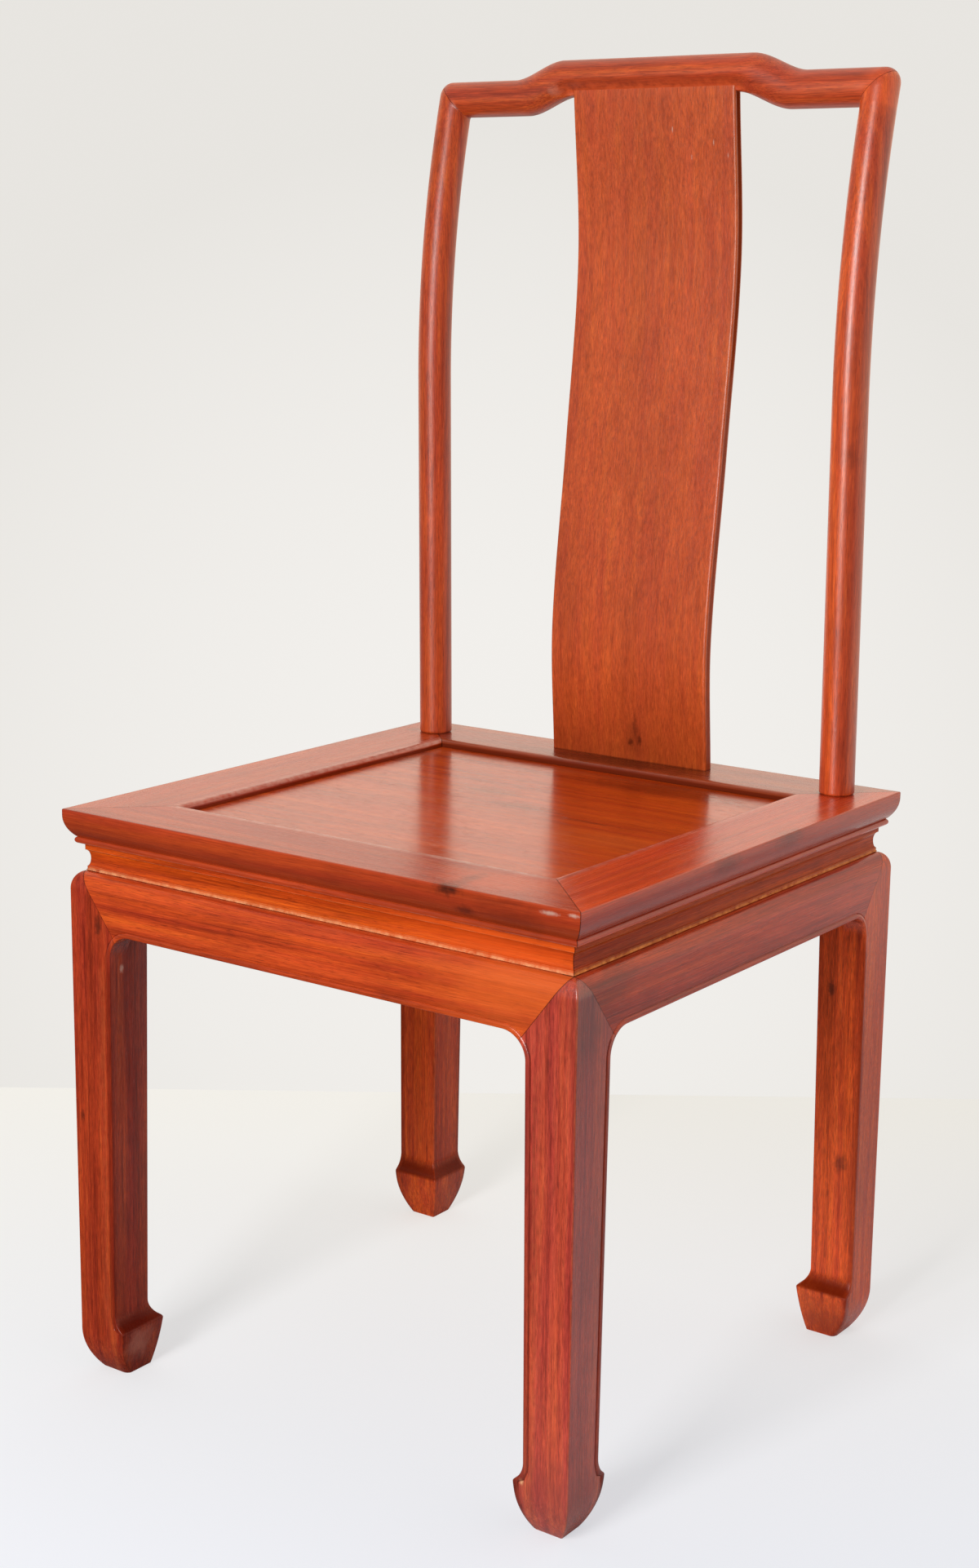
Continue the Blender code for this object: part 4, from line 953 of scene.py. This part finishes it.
def legMesh(hoofShading):
    low = 0.0
    levels = [low]
    for high, count in leg["rows"]:
        levels += stepsBetween(low, high, count)[1:]
        low = high
    for turn in stepsBetween(0, 90, 18)[1:]:
        levels.append(skirt["shoulderFoot"] + skirt["shoulderDrop"] * math.sin(math.radians(turn)))
    rings = []
    for level in levels:
        half = legHalfRing(level, hoofShading)
        other = [(q, p, wearLightShade, joint) for p, q, wearLightShade, joint in reversed(half[1:-1])]
        rings.append([(p, q, level, wearLightShade, joint) for p, q, wearLightShade, joint in half + other])
    post = [(max(leg["post"], x), max(leg["post"], y)) for x, y, z, wearLightShade, joint in rings[-1]]
    for level in (skirt["top"] + leg["postGap"], rail["foot"] - rail["slack"]):
        rings.append([(x, y, level, 0, 0) for x, y in post])
    return loftMesh("leg", rings)


for k, (name, (x, y, turn, half)) in enumerate(sides.items()):
    node = "apron_" + name
    finish = woodMaterial(node, sideGrain[name], skirt["seed"] + k, **skirt["look"][name])
    addPiece(node, apronMesh(half), finish, turn, (x, y))
for k, (name, (x, y, turn)) in enumerate(corners.items()):
    node = "leg_" + name
    finish = woodMaterial(node, "Z", leg["seed"] + k, **leg["grain"], **leg["look"][name])
    addPiece(node, legMesh(leg["hoofDirt"][name]), finish, turn, (x, y))
print("aprons and legs done")


# back

back = {
    "inset": 0.0380, "diameter": 0.0284, "straight": 0.310, "lean": 0.0177, "bend": 0.885, "height": 0.548,
    "crest": 0.0294, "rise": 0.0145, "riseFoot": 0.1395, "riseHead": 0.0895, "riseLag": 0.0140,
    "cornerRound": 0.0110, "innerRound": 0.0010, "blend": 0.0040, "crestStart": 0.0020,
    "coveSet": 0.0010, "coveHead": 0.0005, "coveFoot": 0.0125, "coveRunOut": 0.0200, "coveLight": 0.0040,
    # painted shade on the right stile's outer side, from just above its foot
    "mitreSpare": 1.5, "mitreSeam": 0.2, "gap": 0.0003, "shadeFoot": 0.0030, "paintedDark": 0.30,
    "sides": 72, "seed": 40.0,
}
back["x"] = seat["halfWidth"] - back["inset"]
back["y"] = seat["halfDepth"] - back["inset"]
back["stileFoot"] = ((0.0, 0.0012, 1.0), (0.0008, 0.0004, 0.7), (0.0016, 0.0, 0.0))  # height, set-back, seam
back["look"] = {
    "stile_right": {
        "body": (0.58, 0.074, 0.0130), "roughness": 0.30, "sheen": 0.62,
        "fibre": 0.0016, "fibreLength": 0.030,
        "marks": (
            ((0.2089, 0.180, 0.7341), 0.0080, (1, 1, 1.8), 0.45, grimeAndShade),
            # painted light on the corner's top
            ((0.2050, 0.210, 1.0080), 0.0250, (1, 1, 1), 0.45, (0.80, 0.105, 0.0200)),
        ),
    },
    "stile_left": {
        "body": (0.45, 0.055, 0.0105), "roughness": 0.36, "sheen": 0.45,
        "fibre": 0.0016, "fibreLength": 0.030,
    },
    "crest_rail": {
        "body": (0.46, 0.054, 0.0130), "roughness": 0.38, "sheen": 0.50, "fibre": 0.0014, "fleck": 0.30,
        # the pale colour here paints light into the hollow above the splat
        "wornAndLit": (0.66, 0.100, 0.0250), "wornAndLitAmount": 0.9,
        "marks": (
            # painted highlight on the underside's bend beside the splat
            ((-0.0925, 0.206, 1.0166), 0.0070, (1.4, 1, 0.9), 0.4, (0.62, 0.24, 0.16)),
            # painted light on the corner's top
            ((0.2050, 0.210, 1.0120), 0.0250, (1, 1, 1), 0.45, (0.80, 0.105, 0.0200)),
        ),
    },
}
splat = {
    "width": 0.154, "thick": 0.010, "round": 0.0018, "tenon": 0.012, "footSet": 0.0040, "headSet": 0.0065,
    "places": ((0.108, -0.0020), (0.261, 0.0135), (0.418, 0.0272)),  # height and depth along the S
    "footRows": (0.0, 0.0004, 0.0014), "rowStart": 0.0040, "rows": 140, "seam": 0.0006, "seed": 43.0,
    "footWear": 0.1, "headWear": 0.4, "behindWear": 0.3, "sideShade": 0.45, "sideHeadShade": 0.40,
    "footShade": ((0.36, 0.090), (0.14, 0.450)),  # painted shade, darker towards the foot, up to a height
    "flecks": ((0.0183, 0.9838), (0.0565, 0.9731), (0.0697, 0.9630), (0.0358, 0.9621)),
}
splat["look"] = {
    "body": (0.47, 0.071, 0.0160), "roughness": 0.32, "sheen": 0.50, "dull": 2.0,
    "fibre": 0.0024, "fibreLength": 0.026, "fleck": 0.25, "streak": 0.0060, "streakLength": 0.14,
    "ringPitch": 0.040, "poreAmount": 0.50, "lineAmount": 0.12, "blotch": 0.10, "mottle": 0.08,
    "deepShare": (0.68, 0.62, 0.66), "lightShare": (1.24, 1.44, 1.25),
    "cool": (0.96, 0.90, 1.05), "warm": (1.04, 1.10, 0.96),
    "marks": (
        ((0.0069, 0.197, 0.4815), 0.016, (0.8, 1, 1.2), 0.45, grimeAndShade),
        ((0.0033, 0.197, 0.4802), 0.0045, (0.9, 1, 1.1), 0.9, resin),
        ((0.0121, 0.197, 0.4826), 0.0042, (0.8, 1, 1.4), 0.9, resin),
        ((0.0079, 0.197, 0.4950), 0.0060, (0.6, 1, 2.6), 0.6, grimeAndShade),
        *[((x, 0.212, z), 0.0016, (0.6, 5, 2.0), 0.6, chalk) for x, z in splat["flecks"]],
    ),
}


def stileY(height):
    run = max(0.0, height - back["straight"])
    upright = back["y"] - back["lean"] * max(0.0, height)
    return upright + back["bend"] - math.sqrt(back["bend"] ** 2 - run * run)


def stileSlope(height):
    run = max(0.0, height - back["straight"])
    return run / math.sqrt(back["bend"] ** 2 - run * run) - back["lean"]


def cornerReach(turn):  # from the inside of the corner to its outer edge
    wide = back["diameter"] + back["innerRound"]
    high = back["crest"] + back["innerRound"]
    level = math.cos(turn)
    rise = math.sin(turn)
    coreX = wide - back["cornerRound"]
    coreZ = high - back["cornerRound"]
    if wide * rise <= coreZ * level:
        return wide / level
    if high * level <= coreX * rise:
        return high / rise
    along = coreX * level + coreZ * rise
    return along + math.sqrt(along * along - coreX * coreX - coreZ * coreZ + back["cornerRound"] ** 2)


def cornerFrame():
    up = Vector((0.0, stileSlope(back["height"]), 1.0)).normalized()
    out = Vector((1.0, 0.0, 0.0))
    axis = Vector((back["x"], stileY(back["height"]), seat["top"] + back["height"]))
    wide = back["diameter"] / 2 + back["innerRound"]
    high = back["crest"] / 2 + back["innerRound"]
    return axis - out * wide - up * high, out, up, up.cross(out)


def ringTurns():
    return [2 * math.pi * k / back["sides"] for k in range(back["sides"])]


def cornerRing(degrees, shift, joint):
    inner, out, up, behind = cornerFrame()
    turn = math.radians(degrees)
    ray = out * math.cos(turn) + up * math.sin(turn)
    normal = up * math.cos(turn) - out * math.sin(turn)
    far = cornerReach(turn)
    depth = back["diameter"] + degrees / 90 * (back["crest"] - back["diameter"])
    middle = inner + ray * (far + back["innerRound"]) / 2 + normal * shift
    reach = ray * (far - back["innerRound"]) / 2
    points = [middle + reach * math.cos(a) + behind * (depth / 2) * math.sin(a) for a in ringTurns()]
    return [(*point, 0.0, joint) for point in points]


def stileRing(height, radius, joint=0.0, shade=0.0):  # shade: painted shade on the outer side
    centre = Vector((back["x"], stileY(height), seat["top"] + height))
    behind = Vector((0.0, 1.0, -stileSlope(height))).normalized()
    ring = []
    for a in ringTurns():
        point = centre + Vector((radius * math.cos(a), 0, 0)) + behind * radius * math.sin(a)
        ring.append((*point, -shade * eased((point.x - centre.x) / (0.7 * radius)), joint))
    return ring


def stileRings(shade):
    radius = back["diameter"] / 2
    top = back["height"] - back["crest"] / 2 - back["blend"]
    rings = [stileRing(height, radius - less, joint) for height, less, joint in back["stileFoot"]]
    heights = stepsBetween(back["shadeFoot"], back["straight"], 30)
    heights += stepsBetween(back["straight"], top, 40)[1:]
    rings += [stileRing(height, radius, 0.0, shade) for height in heights]
    rings += [cornerRing(turn, 0.0, 0.0) for turn in stepsBetween(0, 45 - back["mitreSpare"], 22)]
    rings.append(cornerRing(45, -back["gap"] / 2, back["mitreSeam"]))
    return rings


def splatFront(height):  # a smooth curve through the places
    shoulder = back["height"] + back["rise"] - back["crest"] / 2
    head = stileY(back["height"]) - back["y"] - splat["headSet"]
    places = [(0.0, splat["footSet"]), *splat["places"], (shoulder, head)]
    height = min(shoulder, max(0.0, height))
    slopes = []
    for k in range(len(places)):
        low, high = places[max(k - 1, 0)], places[min(k + 1, len(places) - 1)]
        slopes.append((high[1] - low[1]) / (high[0] - low[0]))
    k = max(i for i in range(len(places) - 1) if places[i][0] <= height)
    (start, startY), (end, endY) = places[k], places[k + 1]
    span = end - start
    t = (height - start) / span
    bend = startY * (1 + 2 * t) * (1 - t) ** 2 + span * slopes[k] * t * (1 - t) ** 2
    bend += endY * t * t * (3 - 2 * t) + span * slopes[k + 1] * t * t * (t - 1)
    return back["y"] + bend


def crestLift(x, turn):  # the underside steps up nearer the middle than the top
    foot = back["riseFoot"] - back["riseLag"] * (1 - math.cos(turn)) / 2
    return back["rise"] * eased((foot - abs(x)) / (back["riseFoot"] - back["riseHead"]))


def crestCove(x, front, drop):  # hollow in the crest's front above the splat
    face = splatFront(back["height"] + back["rise"]) + back["coveSet"]
    share = (drop - back["coveHead"]) / (back["coveFoot"] - back["coveHead"])
    bulge = stileY(back["height"]) - back["crest"] / 2
    hollow = bulge + (face - bulge) * eased(share)
    run = (splat["width"] / 2 + back["coveRunOut"] - abs(x)) / back["coveRunOut"]
    return front + max(0.0, hollow - front) * eased(run)


def crestRing(x):
    inner, out, up, behind = cornerFrame()
    radius = back["crest"] / 2
    middle = inner + up * (back["innerRound"] + radius)
    ring = []
    for a in ringTurns():
        point = middle + up * radius * math.cos(a) + behind * radius * math.sin(a)
        y = crestCove(x, point.y, middle.z - point.z)
        # painted light in the hollow, more where it is cut deeper
        ring.append((x, y, point.z + crestLift(x, a), min(1.0, (y - point.y) / back["coveLight"]), 0.0))
    return ring


def crestRings():
    start = cornerFrame()[0].x - back["crestStart"]
    flat = back["riseHead"] - back["riseLag"]
    rings = [cornerRing(45, back["gap"] / 2, back["mitreSeam"])]
    rings += [cornerRing(turn, 0.0, 0.0) for turn in stepsBetween(45 + back["mitreSpare"], 90, 22)]
    places = stepsBetween(start, back["riseFoot"], 8) + stepsBetween(back["riseFoot"], flat, 52)[1:]
    rings += [crestRing(x) for x in places + stepsBetween(flat, 0.0, 8)[1:-1]]
    return rings + [crestRing(0.0)] + mirrored(rings[::-1])


def splatRing(height):
    front = splatFront(height)
    behind = front + splat["thick"]
    half = splat["width"] / 2
    bend = splat["round"]
    rubbed = splat["footWear"] + splat["headWear"] * eased(height / back["height"])
    outline = roundedOutline([
        (-half, front, bend, rubbed), (half, front, bend, rubbed),
        (half, behind, bend, splat["behindWear"]), (-half, behind, bend, splat["behindWear"]),
    ])
    joint = 1.0 if height < splat["seam"] else 0.0
    footShade = -sum(amount * eased(1 - height / reach) for amount, reach in splat["footShade"])
    # painted shade on the side faces, deeper in the upper half
    shaded = -splat["sideShade"] - splat["sideHeadShade"] * eased(2 * height / back["height"] - 1)
    ring = []
    for u, v, wearLightShade in outline:
        side = abs(u) > half - 1e-6 and wearLightShade == 0
        ring.append((u, v, seat["top"] + height, shaded if side else wearLightShade + footShade, joint))
    return ring


def splatRings():
    tall = back["height"] + back["rise"] - back["crest"] / 2 + splat["tenon"]
    heights = [*splat["footRows"], *stepsBetween(splat["rowStart"], tall, splat["rows"])]
    return [splatRing(height) for height in heights]


bars = (
    ("stile_right", "Z", stileRings(back["paintedDark"])),
    ("stile_left", "Z", mirrored(stileRings(0.0))),
    ("crest_rail", "X", crestRings()),
)
for k, (node, axis, rings) in enumerate(bars):
    finish = woodMaterial(node, axis, back["seed"] + k, **back["look"][node])
    addPiece(node, loftMesh(node, rings), finish)
finish = woodMaterial("back_splat", "Z", splat["seed"], **splat["look"])
addPiece("back_splat", loftMesh("splat", splatRings()), finish)
print("back done")


# studio

view = {  # turns in degrees, focal length and picture height in pixels
    "yaw": 35.7625, "pitch": 12.4829, "roll": 0.696, "eye": (1.0812, -1.5042, 0.8869),
    "focal": 2955.55, "pictureHeight": 1922, "sensor": 36.0,
}
yaw = math.radians(view["yaw"])
pitch = math.radians(view["pitch"])
roll = math.radians(view["roll"])
eye = Vector(view["eye"])
ahead = Vector((-math.sin(yaw) * math.cos(pitch), math.cos(yaw) * math.cos(pitch), -math.sin(pitch)))
level = Vector((math.cos(yaw), math.sin(yaw), 0.0))
above = level.cross(ahead)
right = level * math.cos(roll) + above * math.sin(roll)
up = above * math.cos(roll) - level * math.sin(roll)
cameraData = bpy.data.cameras.new("camera")
cameraData.lens = view["sensor"] * view["focal"] / view["pictureHeight"]
cameraData.sensor_width = view["sensor"]
camera = bpy.data.objects.new("camera", cameraData)
camera.matrix_world = Matrix.Translation(eye) @ Matrix((right, up, -ahead)).transposed().to_4x4()
bpy.context.collection.objects.link(camera)
bpy.context.scene.camera = camera

ground = {
    "far": 2.465, "near": 1.40, "halfWidth": 1.6,
    "colour": (0.80, 0.81, 0.845), "roughness": 0.9, "sheen": 0.1,
    "dark": (0.10, 0.10, 0.10), "lightWay": (0.58, 0.81, 0.0), "lightRange": (-0.5, 0.3),
    "nearGlow": (0.96, 1.00, 1.07), "farGlow": (1.15, 1.115, 1.00),
    "glowRange": (-0.40, 0.60), "glowShare": 0.55,
}
flat = Vector((-math.sin(yaw), math.cos(yaw), 0.0))
farther = Vector((eye.x, eye.y, 0.0)) + flat * ground["far"]
nearer = farther - flat * (ground["far"] - ground["near"])
aside = level * ground["halfWidth"]
edge = [farther - aside, farther + aside, nearer + aside, nearer - aside]
floorMesh = bpy.data.meshes.new("floor")
floorMesh.from_pydata([tuple(p) for p in edge], [], [(3, 2, 1, 0)])
floor = bpy.data.objects.new("floor", floorMesh)
bpy.context.collection.objects.link(floor)
paint = bpy.data.materials.new("floor")
paint.use_nodes = True
tree = paint.node_tree
shader = tree.nodes["Principled BSDF"]
shader.inputs["Roughness"].default_value = ground["roughness"]
shader.inputs["Specular IOR Level"].default_value = ground["sheen"]
rays = tree.nodes.new("ShaderNodeLightPath").outputs
spot = addNode(tree, "ShaderNodeTexCoord").outputs["Object"]
across = vectorNode(tree, "DOT_PRODUCT", spot, ground["lightWay"])
reach = rangeNode(tree, across, *ground["lightRange"], smooth=True)  # the room is darker in front
tone = mixNode(tree, reach, colour(ground["dark"]), colour(ground["colour"]))
tone = mixNode(tree, rays["Is Camera Ray"], tone, colour(ground["colour"]))
tree.links.new(tone, shader.inputs["Base Color"])
away = rangeNode(tree, vectorNode(tree, "DOT_PRODUCT", spot, flat), *ground["glowRange"])
glowTone = mixNode(tree, away, colour(ground["nearGlow"]), colour(ground["farGlow"]))
glow = addNode(tree, "ShaderNodeEmission", {"Color": glowTone, "Strength": 1.0})
share = mathNode(tree, "MULTIPLY", rays["Is Camera Ray"], ground["glowShare"])
blend = addNode(tree, "ShaderNodeMixShader", {0: share, 1: shader.outputs[0], 2: glow.outputs[0]})
tree.links.new(blend.outputs[0], tree.nodes["Material Output"].inputs["Surface"])
floorMesh.materials.append(paint)

room = {  # the wall in view, what the polish mirrors, and the soft light from all round
    "wall": (0.805, 0.785, 0.750), "wallMiddle": (0.885, 0.865, 0.835), "middleRange": (0.965, 0.998),
    "backWay": (0.0, 1.0, 0.35), "backRange": (-0.35, 0.35),
    "frontGloss": (0.08, 0.08, 0.08), "frontHigh": (0.36, 0.355, 0.35), "frontRange": (-0.30, 0.0),
    "lowGloss": (1.05, 0.98, 0.92), "backGloss": (1.42, 1.10, 0.90), "lowRange": (-0.25, -0.05),
    "shadeRange": (0.945, 0.985, 1.0, 0.25),
    "frontFill": (0.20, 0.19, 0.18), "backFill": (0.98, 0.96, 0.95), "fadeRange": (0.30, 0.90, 1.0, 0.5),
}
world = bpy.data.worlds.new("studio")
bpy.context.scene.world = world
world.use_nodes = True
tree = world.node_tree
backdrop = tree.nodes["Background"]
rays = tree.nodes.new("ShaderNodeLightPath").outputs
way = addNode(tree, "ShaderNodeTexCoord").outputs["Generated"]
height = addNode(tree, "ShaderNodeSeparateXYZ", {0: way}).outputs[2]
toBack = vectorNode(tree, "DOT_PRODUCT", way, room["backWay"])
lit = rangeNode(tree, toBack, *room["backRange"], smooth=True)  # pale wall behind, darker room in front
toMiddle = vectorNode(tree, "DOT_PRODUCT", way, ahead)
white = rangeNode(tree, toMiddle, *room["middleRange"])
white = mixNode(tree, white, colour(room["wall"]), colour(room["wallMiddle"]))
fill = mixNode(tree, lit, colour(room["frontFill"]), colour(room["backFill"]))
fill = mixNode(tree, 1.0, fill, rangeNode(tree, height, *room["fadeRange"], True), "MULTIPLY")
before = rangeNode(tree, height, *room["frontRange"], smooth=True)
before = mixNode(tree, before, colour(room["frontGloss"]), colour(room["frontHigh"]))
behind = rangeNode(tree, height, *room["lowRange"], smooth=True)
behind = mixNode(tree, behind, colour(room["lowGloss"]), colour(room["backGloss"]))
hidden = rangeNode(tree, toMiddle, *room["shadeRange"], True)  # the wall behind the chair is in its shade
gloss = mixNode(tree, 1.0, mixNode(tree, lit, before, behind), hidden, "MULTIPLY")
mirror = mathNode(tree, "MAXIMUM", rays["Is Glossy Ray"], rays["Is Transmission Ray"])
tone = mixNode(tree, rays["Is Camera Ray"], mixNode(tree, mirror, fill, gloss), white)
tree.links.new(tone, backdrop.inputs["Color"])
backdrop.inputs["Strength"].default_value = 1.0

key = {
    "place": (0.15, -2.40, 1.20), "aim": (0.0, 0.0, 0.55), "wide": 0.75, "high": 1.8,
    "power": 66.0, "colour": (1.0, 0.985, 0.97),
}
lampData = bpy.data.lights.new("window", "AREA")
lampData.shape = "RECTANGLE"
lampData.size = key["wide"]
lampData.size_y = key["high"]
lampData.energy = key["power"]
lampData.color = key["colour"]
lamp = bpy.data.objects.new("window", lampData)
lamp.location = key["place"]
lamp.rotation_euler = (Vector(key["aim"]) - Vector(key["place"])).to_track_quat("-Z", "Y").to_euler()
bpy.context.collection.objects.link(lamp)
bpy.context.scene.view_settings.view_transform = "Standard"
print("studio done")
